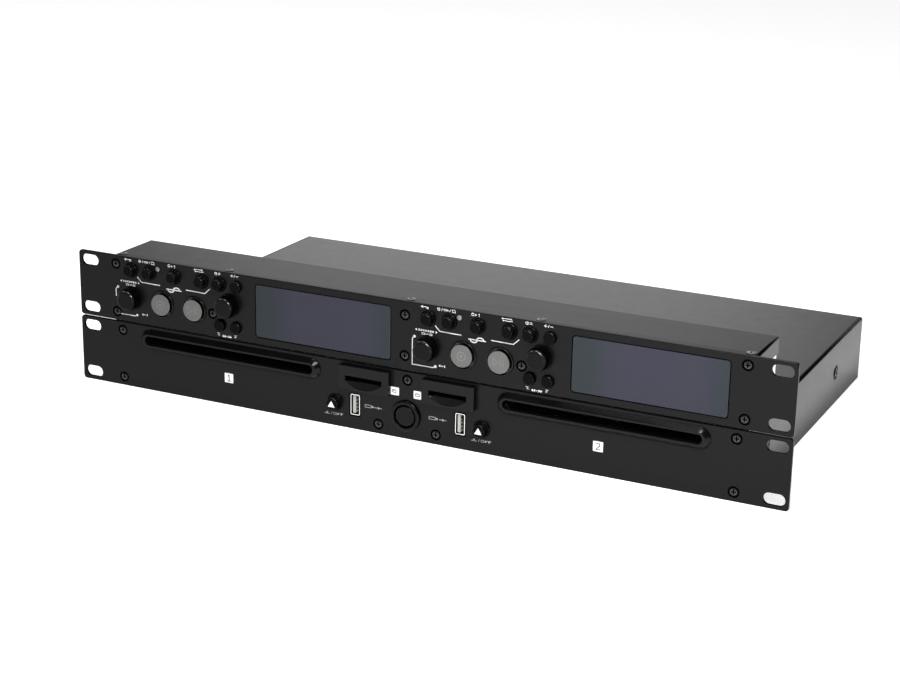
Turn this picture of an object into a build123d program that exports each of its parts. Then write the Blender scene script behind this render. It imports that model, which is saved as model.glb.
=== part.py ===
from build123d import *
import math
import os

# Two stacked 19-inch rack units: a shallow control unit standing on a deep
# twin slot-loading disc player.  Millimetres, +Z up, +X to the right, the
# faceplates look along -Y.  The origin lies on the player's flat base, half
# way along its depth and on the centre line.

# ---------------------------------------------------------------- dimensions
PW = 482.6            # faceplate width (19-inch rack)
PH = 43.7             # faceplate height (one rack unit)
PT = 2.0              # faceplate thickness
PR = 2.2              # faceplate corner radius
DEPTH = 250.0         # player, front face to rear wall
YF = -DEPTH / 2       # front face of both faceplates
YB = YF + PT          # back face of both faceplates
YR = YF + DEPTH       # rear face of the player
ZL = 0.1              # lower edge, player faceplate
ZU = 44.55            # lower edge, control unit faceplate
DZ = 0.5              # panel heights below are taken from a datum 0.5 above the base

SLOT_DX = 465.1       # rack slot spacing across
SLOT_DZ = 31.75       # rack slot spacing up
SLOT_R = 3.6          # half the height of a rack slot
SLOT_L = 13.0         # end to end length of a rack slot

T = 1.0               # sheet thickness
PBX = 214.7           # player box, half width
PTOP = 43.0           # top of the player's cover
CBX = 216.5           # control unit box, half width
CBOT = 43.1           # base of the control unit's chassis
CTOP = 87.4           # top of the control unit's cover
CLIP = 77.4           # lower edge of the lips folded down its sides
CYR = YF + 44.7       # rear face of the control unit

CH = 107.1            # the two channels repeat at -CH and +CH

# disc slots
DSX = 127.1           # slot centres at -DSX and +DSX
DSZ = 34.4 + DZ
DS_W, DS_H = 124.6, 5.9       # clear opening
DB_W, DB_H = 133.4, 13.9      # raised surround
DB_P = 3.2                    # how far the surround stands out
DB_E = 0.4                    # height of its outer edge
DB_C = 1.35                   # width of the flat crest round the opening

# card slots
CSX = 28.75
CSZ = 33.35 + DZ
CS_W, CS_H = 25.4, 3.6
CB_W, CB_H, CB_Z = 35.2, 15.4, 33.85 + DZ
CB_P = 3.4

# usb sockets, power and eject buttons
USX, USZ = 36.0, 15.7 + DZ
US_W, US_H = 6.4, 13.4
PWX, PWZ = -0.6, 14.75 + DZ
PWR_R, PWB_R = 9.9, 6.5
PWG = 0.95            # gap round the power button
EJX, EJZ = 50.3, 15.1 + DZ

# displays
DW, DH = 94.9, 33.7
DIX, DIZ = 154.8 - CH, 65.85 + DZ
DG = 0.65             # gap round a display window

# push buttons of one channel: name, x, z, hole radius, skirt radius,
# cap radius, stand-out, skirt stand-out
ROW = 79.3 + DZ
BUTTONS = [
    ("back_button",    13.7 - CH, ROW, 5.05, 4.75, 4.1, 4.6, 0.8),
    ("source_button",  27.7 - CH, ROW, 5.05, 4.75, 4.1, 4.6, 0.8),
    ("single_button",  46.6 - CH, ROW, 5.05, 4.75, 4.1, 4.8, 0.8),
    ("repeat_button",  67.2 - CH, ROW, 5.05, 4.75, 4.1, 4.6, 0.8),
    ("time_button",    80.4 - CH, ROW, 5.05, 4.75, 4.1, 4.6, 0.8),
    ("pitch_button",   93.1 - CH, ROW, 4.0, 3.75, 3.75, 2.4, 2.4),
    ("search_back_button",    80.8 - CH, 52.5 + DZ, 4.0, 3.75, 3.75, 2.4, 2.4),
    ("search_forward_button", 92.5 - CH, 52.5 + DZ, 4.0, 3.75, 3.75, 2.4, 2.4),
]
BIG = [("cue_button", 36.9 - CH, 59.6 + DZ), ("play_button", 61.3 - CH, 59.6 + DZ)]
BIG_R = 7.1           # cap radius of the two large buttons
BIG_P = 2.2           # stand-out
RING_R = 9.0          # outer radius of the raised rings round them
RING_IN = 8.0
RING_P = 0.9          # how far the rings stand out
CAP_T = 8             # draft of the small caps
SEL = ("select", 13.3 - CH, 60.2 + DZ)
PIT = ("pitch", 87.1 - CH, 66.1 + DZ)
KN_H = 8.0            # knob height
KN_G = 1.1            # gap under a knob
KN_RB = 7.75          # knob base radius
KN_T = 9              # draft of a knob
KN_F = 2.0            # rounding of its tip
TRAVEL = 0.8          # push travel of every button

C_SCREWS = [(-212.3, 82.0), (212.3, 82.0), (-212.4, 49.9), (212.4, 49.9),
            (-139.0, 59.2), (75.3, 59.2), (-2.0, 79.0), (-2.0, 53.2)]
P_SCREWS = [(-208.6, 37.7), (208.6, 37.7), (-208.8, 5.5), (208.8, 5.5),
            (0.0, 37.7), (-19.8, 5.9), (19.8, 5.9)]
TOP_SCREWS = [-211.6, -130.7, -1.6, 83.9, 211.6]
TOP_SCREW_Y = YF + 7.5
SIDE_SCREW_Y = [YF + 41.6, YF + 188.0]
SIDE_SCREW_Z = 22.4
DIM_R, DIM_IN, DIM_D = 5.2, 3.4, 0.7   # dimples the side screws sit in

# internal boards and drives
C_BOARD_Y = YF + 15.0         # front face of the control board
P_BOARD_Y = YF + 20.0         # front face of the player's front board
DRV_W = 146.0                 # drive frame width
DRV_Y0, DRV_Y1 = YF + 6.0, YF + 160.0
DISC_Y = YF + 66.0            # spindle axis
ROLL_Y = YF + 13.0            # feed roller axis
ROLL_Z = 27.2
ROLL_R = 4.0


def front(y):
    # sketch plane whose local x, y are world X, Z and whose normal is -Y
    return Plane(origin=(0, y, 0), x_dir=(1, 0, 0), z_dir=(0, -1, 0))


os.makedirs("parts", exist_ok=True)


def save(builder, name):
    builder.part.label = name
    export_step(builder.part, "parts/" + name + ".step")


# A countersunk-recess panel screw: low domed head with a cross, plain shank.
HEAD_R, HEAD_H, SHANK_R = 2.75, 1.5, 1.45
with BuildPart() as screw:
    # local frame: +Z out of the panel, head seat at z = 0
    with BuildSketch(Plane.XZ) as prof:
        with BuildLine():
            Polyline((0, -7.5), (SHANK_R, -7.5), (SHANK_R, 0), (HEAD_R, 0), (HEAD_R, 0.8))
            ThreePointArc((HEAD_R, 0.8), (1.55, 1.36), (0, HEAD_H))
            Line((0, HEAD_H), (0, -7.5))
        make_face()
    revolve(axis=Axis.Z)
    with BuildSketch(Plane.XY.offset(HEAD_H + 0.1)):
        Rectangle(3.3, 0.9)
        Rectangle(0.9, 3.3)
    extrude(amount=-1.25, taper=12, mode=Mode.SUBTRACT)
SCREW = screw.part
# The same screw with a short shank, for the sheet covers.
with BuildPart() as short_screw:
    add(SCREW)
    with Locations((0, 0, -4.0)):
        Box(4, 4, 6, align=(Align.CENTER, Align.CENTER, Align.MAX), mode=Mode.SUBTRACT)
SHORT = short_screw.part
# Low flat-domed screw for the control unit's cover.
with BuildPart() as low_screw:
    with BuildSketch(Plane.XZ) as low_prof:
        with BuildLine():
            Polyline((0, -4.0), (SHANK_R, -4.0), (SHANK_R, 0), (HEAD_R, 0), (HEAD_R, 0.35))
            ThreePointArc((HEAD_R, 0.35), (1.5, 0.68), (0, 0.8))
            Line((0, 0.8), (0, -4.0))
        make_face()
    revolve(axis=Axis.Z)
    with BuildSketch(Plane.XY.offset(0.9)):
        Rectangle(3.3, 0.9)
        Rectangle(0.9, 3.3)
    extrude(amount=-0.75, taper=12, mode=Mode.SUBTRACT)
LOW = low_screw.part


def side_cone(x0, r0, r1, h, mode):
    # cones on the side screw axes, from radius r0 at x0 outwards to r1
    for y in SIDE_SCREW_Y:
        for sx in (-1, 1):
            with Locations(Location((sx * x0, y, SIDE_SCREW_Z), (0, sx * 90, 0))):
                Cone(r0, r1, h, align=(Align.CENTER, Align.CENTER, Align.MIN), mode=mode)


# ------------------------------------------------------------ player casing
with BuildPart() as player_faceplate:
    with BuildSketch(front(YB)):
        with Locations((0, ZL + PH / 2)):
            RectangleRounded(PW, PH, PR)
    extrude(amount=PT)
    fillet(player_faceplate.faces().sort_by(Axis.Y)[0].outer_wire().edges(), 0.45)
    # rack slots
    with BuildSketch(front(YF)):
        with Locations((0, ZL + PH / 2)):
            with GridLocations(SLOT_DX, SLOT_DZ, 2, 2):
                SlotOverall(SLOT_L, SLOT_R * 2)
    extrude(amount=-PT, mode=Mode.SUBTRACT)
    # openings for the sleeves of the disc slot surrounds
    with BuildSketch(front(YF)):
        with Locations((-DSX, DSZ), (DSX, DSZ)):
            SlotOverall(DS_W + 3.6, DS_H + 3.6)
        with Locations((-CSX, CSZ), (CSX, CSZ)):
            Rectangle(CS_W + 3.4, CS_H + 3.4)
        with Locations((-USX, USZ), (USX, USZ)):
            RectangleRounded(US_W + 1.7, US_H + 1.7, 1.4)
        with Locations((-EJX, EJZ), (EJX, EJZ)):
            Circle(5.5)
        with Locations((PWX, PWZ)):
            Circle(8.6)
    extrude(amount=-PT, mode=Mode.SUBTRACT)
    # screw recesses and holes
    with BuildSketch(front(YF)):
        with Locations(*[(x, z + DZ) for x, z in P_SCREWS]):
            Circle(3.5)
    extrude(amount=-1.3, mode=Mode.SUBTRACT)
    with BuildSketch(front(YF)):
        with Locations(*[(x, z + DZ) for x, z in P_SCREWS]):
            Circle(1.65)
    extrude(amount=-PT, mode=Mode.SUBTRACT)
save(player_faceplate, "player_faceplate")

# Tray: floor, upturned front flange, side flanges and rear wall, one sheet.
REAR_Z = PTOP - T - 0.1
JACKS = [(-182.0, 29.0), (-182.0, 14.0), (-160.0, 21.5), (-122.0, 29.0), (-122.0, 14.0), (-100.0, 21.5)]
LINKS = [(-60.0, 21.5), (-34.0, 21.5), (-8.0, 21.5)]
INX, INZ = 176.0, 21.5
IN_W, IN_H = 28.0, 20.0
with BuildPart() as player_chassis:
    xi = PBX - T - 0.1
    with BuildSketch(Plane.XY):
        with Locations((0, (YB + YR) / 2)):
            Rectangle(2 * xi, YR - YB)
    extrude(amount=T)
    # front flange
    with BuildSketch(front(YB + T)):
        with Locations((0, REAR_Z / 2)):
            Rectangle(2 * xi, REAR_Z)
    extrude(amount=T)
    # rear wall
    with BuildSketch(front(YR)):
        with Locations((0, REAR_Z / 2)):
            Rectangle(2 * xi, REAR_Z)
    extrude(amount=T)
    # side flanges
    with BuildSketch(Plane.XY):
        with Locations((-xi + T / 2, (YB + YR) / 2), (xi - T / 2, (YB + YR) / 2)):
            Rectangle(T, YR - YB)
    extrude(amount=32.0)
    # front flange windows: one per disc slot, one for the middle group
    with BuildSketch(front(YB + 2 * T)):
        with Locations((-DSX, DSZ), (DSX, DSZ)):
            SlotOverall(DS_W + 6, DS_H + 5.6)
        with Locations((-CSX, CSZ), (CSX, CSZ)):
            Rectangle(CS_W + 5, CS_H + 5)
        with Locations((-USX, USZ), (USX, USZ)):
            Rectangle(US_W + 2.6, US_H + 2.6)
        with Locations((-EJX, EJZ), (EJX, EJZ)):
            Circle(6.8)
        with Locations((PWX, PWZ)):
            Circle(9.3)
        with Locations(*[(x, z + DZ) for x, z in P_SCREWS]):
            Circle(1.5)
    extrude(amount=2 * T, mode=Mode.SUBTRACT)
    # rear cut-outs
    with BuildSketch(front(YR)):
        with Locations(*JACKS):
            Circle(5.1)
        with Locations(*LINKS):
            Circle(6.1)
        with Locations((INX, INZ)):
            Rectangle(IN_W + 0.2, IN_H + 0.2)
        with Locations((-205.0, 36.0), (0.0, 36.0), (205.0, 36.0)):
            Circle(1.5)
        # cooling slots
        with Locations((90.0, 21.5)):
            with GridLocations(5.0, 0, 16, 1):
                SlotOverall(20.0, 2.4, rotation=90)
    extrude(amount=T, mode=Mode.SUBTRACT)
    # threaded side holes
    with BuildSketch(Plane.YZ):
        with Locations(*[(y, SIDE_SCREW_Z) for y in SIDE_SCREW_Y]):
            Circle(4.6)
    extrude(amount=PBX, both=True, mode=Mode.SUBTRACT)
    # pressed dimples behind the cover's own
    side_cone(xi - T - DIM_D, DIM_IN + 0.9, DIM_R + 1.2, DIM_D + T, Mode.ADD)
    side_cone(xi - DIM_D, DIM_IN + 0.55, DIM_R + 0.55, DIM_D, Mode.SUBTRACT)
    with BuildSketch(Plane.YZ):
        with Locations(*[(y, SIDE_SCREW_Z) for y in SIDE_SCREW_Y]):
            Circle(1.5)
    extrude(amount=PBX, both=True, mode=Mode.SUBTRACT)
save(player_chassis, "player_chassis")

# Cover: top with both sides folded down, rounded folds.
with BuildPart() as player_cover:
    with BuildSketch(front(YR)):
        with Locations((0, (PTOP + 0.3) / 2)):
            Rectangle(2 * PBX, PTOP - 0.3)
        with Locations((0, (PTOP - T) / 2)):
            Rectangle(2 * (PBX - T), PTOP - T, mode=Mode.SUBTRACT)
    extrude(amount=YR - YB)
    fillet(player_cover.edges().filter_by(Axis.Y).group_by(Axis.Z)[-1], 1.6)
    # pressed dimples for the screws in the folded sides
    side_cone(PBX - T - DIM_D + 0.02, DIM_IN + 0.45, DIM_R + 0.45, DIM_D, Mode.ADD)
    side_cone(PBX - DIM_D, DIM_IN, DIM_R, DIM_D, Mode.SUBTRACT)
    with BuildSketch(Plane.YZ):
        with Locations(*[(y, SIDE_SCREW_Z) for y in SIDE_SCREW_Y]):
            Circle(1.6)
    extrude(amount=PBX + 1, both=True, mode=Mode.SUBTRACT)
save(player_cover, "player_cover")

# ------------------------------------------------------ player front pieces
# Raised stadium surround: a low outer edge, a slope up to a narrow flat crest
# round the opening, and a sleeve through the faceplate.
DB_TOP = DS_H + 2 * DB_C      # height of the crest, end to end across
DB_T = math.degrees(math.atan(((DB_H - DB_TOP) / 2) / (DB_P - DB_E)))
with BuildPart() as disc_slot_bezels:
    with BuildSketch(front(YF)):
        with Locations((-DSX, DSZ), (DSX, DSZ)):
            SlotOverall(DB_W, DB_H)
    extrude(amount=DB_E)
    for sx in (-1, 1):
        with BuildSketch(front(YF - DB_E)):
            with Locations((sx * DSX, DSZ)):
                SlotOverall(DB_W, DB_H)
        extrude(amount=DB_P - DB_E, taper=DB_T)
    crest = disc_slot_bezels.faces().filter_by(Axis.Y).sort_by(Axis.Y)[0:2]
    fillet([e for f in crest for e in f.outer_wire().edges()], 0.5)
    with BuildSketch(front(YF - DB_P)):
        with Locations((-DSX, DSZ), (DSX, DSZ)):
            SlotOverall(DS_W, DS_H)
    extrude(amount=-DB_P, mode=Mode.SUBTRACT)
    crest = disc_slot_bezels.faces().filter_by(Axis.Y).sort_by(Axis.Y)[0:2]
    fillet([e for f in crest for e in f.inner_wires().edges()], 0.3)
    with BuildSketch(front(YF)):
        with Locations((-DSX, DSZ), (DSX, DSZ)):
            SlotOverall(DS_W + 3.4, DS_H + 3.4)
            SlotOverall(DS_W, DS_H, mode=Mode.SUBTRACT)
    extrude(amount=-PT - 1.6)
save(disc_slot_bezels, "disc_slot_bezels")

# Card slot surround: raised block, slot, sleeve, and a finger scoop below.
SC_R = 18.6
SC_Z = CSZ - CS_H / 2 - 4.6 + SC_R
with BuildPart() as scoop:
    with Locations(*[(sx * CSX, YF - CB_P - 27.9, SC_Z) for sx in (-1, 1)]):
        Sphere(33.5)
    with Locations(*[(sx * CSX, YF - CB_P, CSZ - CS_H / 2 - 4.0) for sx in (-1, 1)]):
        Box(CS_W, 12, 8.1, mode=Mode.INTERSECT)
with BuildPart() as card_slot_bezels:
    with BuildSketch(front(YF)):
        with Locations((-CSX, CB_Z), (CSX, CB_Z)):
            RectangleRounded(CB_W, CB_H, 0.6)
    extrude(amount=CB_P)
    tops = card_slot_bezels.faces().filter_by(Axis.Y).sort_by(Axis.Y)[0:2]
    fillet([e for f in tops for e in f.outer_wire().edges()], 0.35)
    with BuildSketch(front(YF)):
        with Locations((-CSX, CSZ), (CSX, CSZ)):
            Rectangle(CS_W + 3.2, CS_H + 3.2)
    extrude(amount=-PT - 1.6)
    with BuildSketch(front(YF - CB_P)):
        with Locations((-CSX, CSZ), (CSX, CSZ)):
            Rectangle(CS_W, CS_H)
    extrude(amount=-(CB_P + PT + 1.6), mode=Mode.SUBTRACT)
    add(scoop.part, mode=Mode.SUBTRACT)
save(card_slot_bezels, "card_slot_bezels")

# Upright usb sockets: thin shell with a flared lip.
with BuildPart() as usb_shells:
    with BuildSketch(front(YF + 13.6)):
        with Locations((-USX, USZ), (USX, USZ)):
            RectangleRounded(US_W, US_H, 0.9)
            RectangleRounded(US_W - 0.8, US_H - 0.8, 0.55, mode=Mode.SUBTRACT)
    extrude(amount=13.5)
    with BuildSketch(front(YF + 13.6)):
        with Locations((-USX, USZ), (USX, USZ)):
            RectangleRounded(US_W, US_H, 0.9)
    extrude(amount=0.4)
save(usb_shells, "usb_shells")
# Contact tongue and its block, offset to one side of the shell.
with BuildPart() as usb_tongues:
    with BuildSketch(front(YF + 13.15)):
        with Locations((-USX, USZ), (USX, USZ)):
            RectangleRounded(US_W - 0.9, US_H - 0.9, 0.5)
    extrude(amount=3.6)
    with BuildSketch(front(YF + 9.55)):
        with Locations((-USX - 0.95, USZ), (USX - 0.95, USZ)):
            Rectangle(1.9, 11.1)
    extrude(amount=8.7)
save(usb_tongues, "usb_tongues")

# Power button surround: a rounded ring through the faceplate.
with BuildPart() as power_ring:
    with BuildSketch(front(YF)):
        with Locations((PWX, PWZ)):
            Circle(PWR_R)
            Circle(PWB_R + PWG, mode=Mode.SUBTRACT)
    extrude(amount=2.1)
    rim = power_ring.faces().filter_by(Axis.Y).sort_by(Axis.Y)[0]
    fillet(rim.outer_wire().edges(), 1.1)
    rim = power_ring.faces().filter_by(Axis.Y).sort_by(Axis.Y)[0]
    fillet(rim.inner_wires().edges(), 0.5)
    with BuildSketch(front(YF)):
        with Locations((PWX, PWZ)):
            Circle(8.5)
            Circle(PWB_R + PWG, mode=Mode.SUBTRACT)
    extrude(amount=-PT - 2.2)
save(power_ring, "power_ring")

with BuildPart() as player_screws:
    for x, z in P_SCREWS:
        add(SCREW.moved(Location((x, YF + 1.3, z + DZ), (90, 0, 0))))
    for y in SIDE_SCREW_Y:
        add(SHORT.moved(Location((PBX - DIM_D, y, SIDE_SCREW_Z), (0, 90, 0))))
        add(SHORT.moved(Location((-PBX + DIM_D, y, SIDE_SCREW_Z), (0, -90, 0))))
    for x in (-205.0, 0.0, 205.0):
        add(SHORT.moved(Location((x, YR, 36.0), (-90, 0, 0))))
save(player_screws, "player_screws")

# ------------------------------------------------------- player rear pieces
with BuildPart() as rear_sockets:
    # phono jacks: collar, threaded nose and a bore
    for x, z in JACKS:
        with BuildSketch(front(YR - 9.0)):
            with Locations((x, z)):
                Circle(4.9)
        extrude(amount=-9.0 - 1.2)
        with BuildSketch(front(YR + 1.2)):
            with Locations((x, z)):
                Circle(4.15)
        extrude(amount=-7.0)
        with BuildSketch(front(YR + 8.2)):
            with Locations((x, z)):
                Circle(1.7)
        extrude(amount=12.0, mode=Mode.SUBTRACT)
    # round eight-way link sockets
    for x, z in LINKS:
        with BuildSketch(front(YR - 11.0)):
            with Locations((x, z)):
                Circle(5.9)
        extrude(amount=-11.0 - 0.8)
        with BuildSketch(front(YR + 0.8)):
            with Locations((x, z)):
                Circle(4.4)
                Circle(3.9, mode=Mode.SUBTRACT)
                with PolarLocations(2.3, 7):
                    Circle(0.45)
                Circle(0.7)
        extrude(amount=6.0, mode=Mode.SUBTRACT)
save(rear_sockets, "rear_sockets")

# Mains inlet: flanged cup with three blades.
with BuildPart() as mains_inlet:
    with BuildSketch(front(YR + 1.6)):
        with Locations((INX, INZ)):
            RectangleRounded(IN_W + 6, IN_H + 4, 1.5)
    extrude(amount=1.6)
    with BuildSketch(front(YR)):
        with Locations((INX, INZ)):
            Rectangle(IN_W, IN_H)
    extrude(amount=19.0)
    with BuildSketch(front(YR + 1.6)):
        with Locations((INX, INZ)):
            RectangleRounded(24.0, 16.0, 2.5)
    extrude(amount=17.6, mode=Mode.SUBTRACT)
    with BuildSketch(front(YR - 16.2)):
        with Locations((INX - 7.0, INZ - 1.5), (INX + 7.0, INZ - 1.5), (INX, INZ + 2.5)):
            Rectangle(2.0, 4.0)
    extrude(amount=-10.0)
save(mains_inlet, "mains_inlet")

# --------------------------------------------------------- player internals
# Front board: upright board with the card sockets, switch blocks behind it.
with BuildPart() as front_board:
    with BuildSketch(front(P_BOARD_Y + 1.6)):
        with Locations((0, 21.0)):
            Rectangle(106.0, 36.0)
        with Locations((-USX, USZ), (USX, USZ)):
            Rectangle(US_W + 0.6, US_H + 0.6, mode=Mode.SUBTRACT)
        with Locations((-CSX, CSZ), (CSX, CSZ)):
            Rectangle(CS_W + 4.2, CS_H + 2.2, mode=Mode.SUBTRACT)
    extrude(amount=1.6)
    # switch blocks
    with BuildSketch(front(P_BOARD_Y)):
        with Locations((-EJX, EJZ), (EJX, EJZ), (PWX, PWZ)):
            Rectangle(6.0, 6.0)
    extrude(amount=4.0)
    # card sockets: flat cages behind the card slots
    with BuildSketch(front(P_BOARD_Y + 18.0)):
        with Locations((-CSX, CSZ), (CSX, CSZ)):
            Rectangle(CS_W + 3.0, CS_H + 1.4)
    extrude(amount=32.0)
    with BuildSketch(front(P_BOARD_Y - 14.0)):
        with Locations((-CSX, CSZ), (CSX, CSZ)):
            Rectangle(CS_W, CS_H)
    extrude(amount=-30.0, mode=Mode.SUBTRACT)
save(front_board, "front_board")

# Main board: flat board on four pillars with chips and a heat plate.
with BuildPart() as main_board:
    with BuildSketch(Plane.XY.offset(8.0)):
        with Locations((-70.0, 82.0)):
            Rectangle(230.0, 52.0)
    extrude(amount=1.6)
    with BuildSketch(Plane.XY.offset(T)):
        with Locations((-70.0, 82.0)):
            with GridLocations(220.0, 42.0, 2, 2):
                Circle(2.6)
    extrude(amount=7.0)
    with BuildSketch(Plane.XY.offset(9.6)):
        with Locations((-140.0, 84.0), (-96.0, 84.0), (-30.0, 82.0)):
            Rectangle(16.0, 16.0)
        with Locations((0.0, 84.0), (20.0, 84.0)):
            Rectangle(8.0, 12.0)
    extrude(amount=1.6)
    with BuildSketch(Plane.XY.offset(9.6)):
        with Locations((-60.0, 92.0), (-52.0, 92.0), (-60.0, 80.0), (-52.0, 80.0)):
            Circle(3.0)
    extrude(amount=9.0)
save(main_board, "main_board")

# Switch-mode supply: board with transformer, capacitors and a heat sink.
with BuildPart() as power_supply:
    with BuildSketch(Plane.XY.offset(8.0)):
        with Locations((130.0, 74.0)):
            Rectangle(130.0, 56.0)
    extrude(amount=1.6)
    with BuildSketch(Plane.XY.offset(T)):
        with Locations((130.0, 74.0)):
            with GridLocations(120.0, 46.0, 2, 2):
                Circle(2.6)
    extrude(amount=7.0)
    with BuildSketch(Plane.XY.offset(9.6)):
        with Locations((118.0, 74.0)):
            Rectangle(24.0, 20.0)
    extrude(amount=20.0)
    with BuildSketch(Plane.XY.offset(9.6)):
        with Locations((150.0, 62.0), (150.0, 84.0)):
            Circle(8.0)
        with Locations((90.0, 62.0), (90.0, 76.0)):
            Circle(5.0)
    extrude(amount=24.0)
    with BuildSketch(Plane.XY.offset(9.6)):
        with Locations((138.0, 54.0)):
            Rectangle(60.0, 3.0)
    extrude(amount=26.0)
save(power_supply, "power_supply")

# Drive frames: tray on pillars with side cheeks, a spindle boss, two sled
# rails and a bridge with a clamp pad above the disc.
FZ = 8.0              # underside of a drive tray
SLED_Y0 = DISC_Y + 26.0
RAIL_Z = 15.5
RAIL_DX = 15.0
AX_R = 1.5
with BuildPart() as drive_frames:
    for cx in (-DSX, DSX):
        with BuildSketch(Plane.XY.offset(FZ)):
            with Locations((cx, (DRV_Y0 + DRV_Y1) / 2)):
                Rectangle(DRV_W, DRV_Y1 - DRV_Y0)
            # sled window
            with Locations((cx, SLED_Y0 + 30.0)):
                Rectangle(46.0, 66.0, mode=Mode.SUBTRACT)
        extrude(amount=1.4)
        with BuildSketch(Plane.XY.offset(T)):
            with Locations((cx, (DRV_Y0 + DRV_Y1) / 2)):
                with GridLocations(DRV_W - 14, DRV_Y1 - DRV_Y0 - 14, 2, 2):
                    Circle(3.0)
        extrude(amount=FZ - T)
        # side cheeks
        with BuildSketch(Plane.XY.offset(FZ)):
            with Locations((cx - DRV_W / 2 + 0.7, (DRV_Y0 + DRV_Y1) / 2),
                           (cx + DRV_W / 2 - 0.7, (DRV_Y0 + DRV_Y1) / 2)):
                Rectangle(1.4, DRV_Y1 - DRV_Y0)
        extrude(amount=40.6 - FZ)
        # bridge and clamp pad
        with BuildSketch(Plane.XY.offset(39.4)):
            with Locations((cx, DISC_Y)):
                Rectangle(DRV_W, 46.0)
        extrude(amount=1.2)
        with BuildSketch(Plane.XY.offset(37.8)):
            with Locations((cx, DISC_Y)):
                Circle(12.0)
        extrude(amount=1.6)
        # spindle boss with its bush
        with BuildSketch(Plane.XY.offset(FZ)):
            with Locations((cx, DISC_Y)):
                Circle(13.0)
        extrude(amount=10.0)
        with BuildSketch(Plane.XY.offset(FZ + 10.0)):
            with Locations((cx, DISC_Y)):
                Circle(5.0)
        extrude(amount=2.0)
        # blind spindle bore
        with BuildSketch(Plane.XY.offset(FZ + 12.0)):
            with Locations((cx, DISC_Y)):
                Circle(1.55)
        extrude(amount=-10.0, mode=Mode.SUBTRACT)
        # sled rails with end posts
        with BuildSketch(Plane.XY.offset(FZ)):
            for sx in (-1, 1):
                with Locations((cx + sx * RAIL_DX, SLED_Y0 - 4.5),
                               (cx + sx * RAIL_DX, SLED_Y0 + 64.5)):
                    Rectangle(7.0, 5.0)
        extrude(amount=RAIL_Z + 3.0 - FZ)
        with BuildSketch(front(SLED_Y0 + 63.0)):
            with Locations((cx - RAIL_DX, RAIL_Z), (cx + RAIL_DX, RAIL_Z)):
                Circle(AX_R)
        extrude(amount=65.5)
        # bores for the feed roller's axle
        with BuildSketch(Plane(origin=(cx - DRV_W / 2 - 1, 0, 0), x_dir=(0, 1, 0), z_dir=(1, 0, 0))):
            with Locations((ROLL_Y, ROLL_Z)):
                Circle(AX_R + 0.05)
        extrude(amount=DRV_W + 2, mode=Mode.SUBTRACT)
save(drive_frames, "drive_frames")

# Moving pieces of each drive.
for n, cx in ((1, -DSX), (2, DSX)):
    with BuildPart() as turntable:
        with BuildSketch(Plane.XY.offset(FZ + 3.0)):
            with Locations((cx, DISC_Y)):
                Circle(AX_R)
        extrude(amount=12.0)
        with BuildSketch(Plane.XY.offset(FZ + 12.6)):
            with Locations((cx, DISC_Y)):
                Circle(13.0)
        extrude(amount=5.4)
        with BuildSketch(Plane.XY.offset(FZ + 18.0)):
            with Locations((cx, DISC_Y)):
                Circle(7.4)
        extrude(amount=4.2, taper=12)
        # three spring fingers cut into the hub
        with BuildSketch(Plane.XY.offset(FZ + 22.2)):
            with Locations((cx, DISC_Y)):
                with PolarLocations(5.6, 3):
                    Rectangle(5.0, 1.2)
        extrude(amount=-3.0, mode=Mode.SUBTRACT)
    save(turntable, "turntable_%d" % n)

    with BuildPart() as pickup:
        with BuildSketch(Plane.XY.offset(11.0)):
            with Locations((cx, SLED_Y0 + 15.0)):
                RectangleRounded(38.0, 26.0, 2.0)
        extrude(amount=9.0)
        # lens turret
        with BuildSketch(Plane.XY.offset(20.0)):
            with Locations((cx, SLED_Y0 + 10.0)):
                Rectangle(14.0, 12.0)
        extrude(amount=4.0)
        with BuildSketch(Plane.XY.offset(24.0)):
            with Locations((cx, SLED_Y0 + 10.0)):
                Circle(3.4)
        extrude(amount=1.2)
        with BuildSketch(Plane.XY.offset(25.2)):
            with Locations((cx, SLED_Y0 + 10.0)):
                Circle(2.0)
        extrude(amount=-1.0, mode=Mode.SUBTRACT)
        # rail bores
        with BuildSketch(front(SLED_Y0 + 30.0)):
            with Locations((cx - RAIL_DX, RAIL_Z), (cx + RAIL_DX, RAIL_Z)):
                Circle(AX_R + 0.06)
        extrude(amount=30.0, mode=Mode.SUBTRACT)
    save(pickup, "pickup_%d" % n)

    with BuildPart() as roller:
        # rubber sleeve, slightly waisted, on a steel axle
        with BuildSketch(Plane(origin=(cx, ROLL_Y, ROLL_Z), x_dir=(1, 0, 0), z_dir=(0, -1, 0))):
            with BuildLine():
                Polyline((-62.0, 0), (-62.0, ROLL_R))
                ThreePointArc((-62.0, ROLL_R), (0, ROLL_R - 0.7), (62.0, ROLL_R))
                Polyline((62.0, ROLL_R), (62.0, 0), (-62.0, 0))
            make_face()
        revolve(axis=Axis((cx, ROLL_Y, ROLL_Z), (1, 0, 0)))
        with BuildSketch(Plane(origin=(cx - DRV_W / 2 - 2.0, 0, 0), x_dir=(0, 1, 0), z_dir=(1, 0, 0))):
            with Locations((ROLL_Y, ROLL_Z)):
                Circle(AX_R)
        extrude(amount=DRV_W + 4.0)
    save(roller, "feed_roller_%d" % n)

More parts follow.
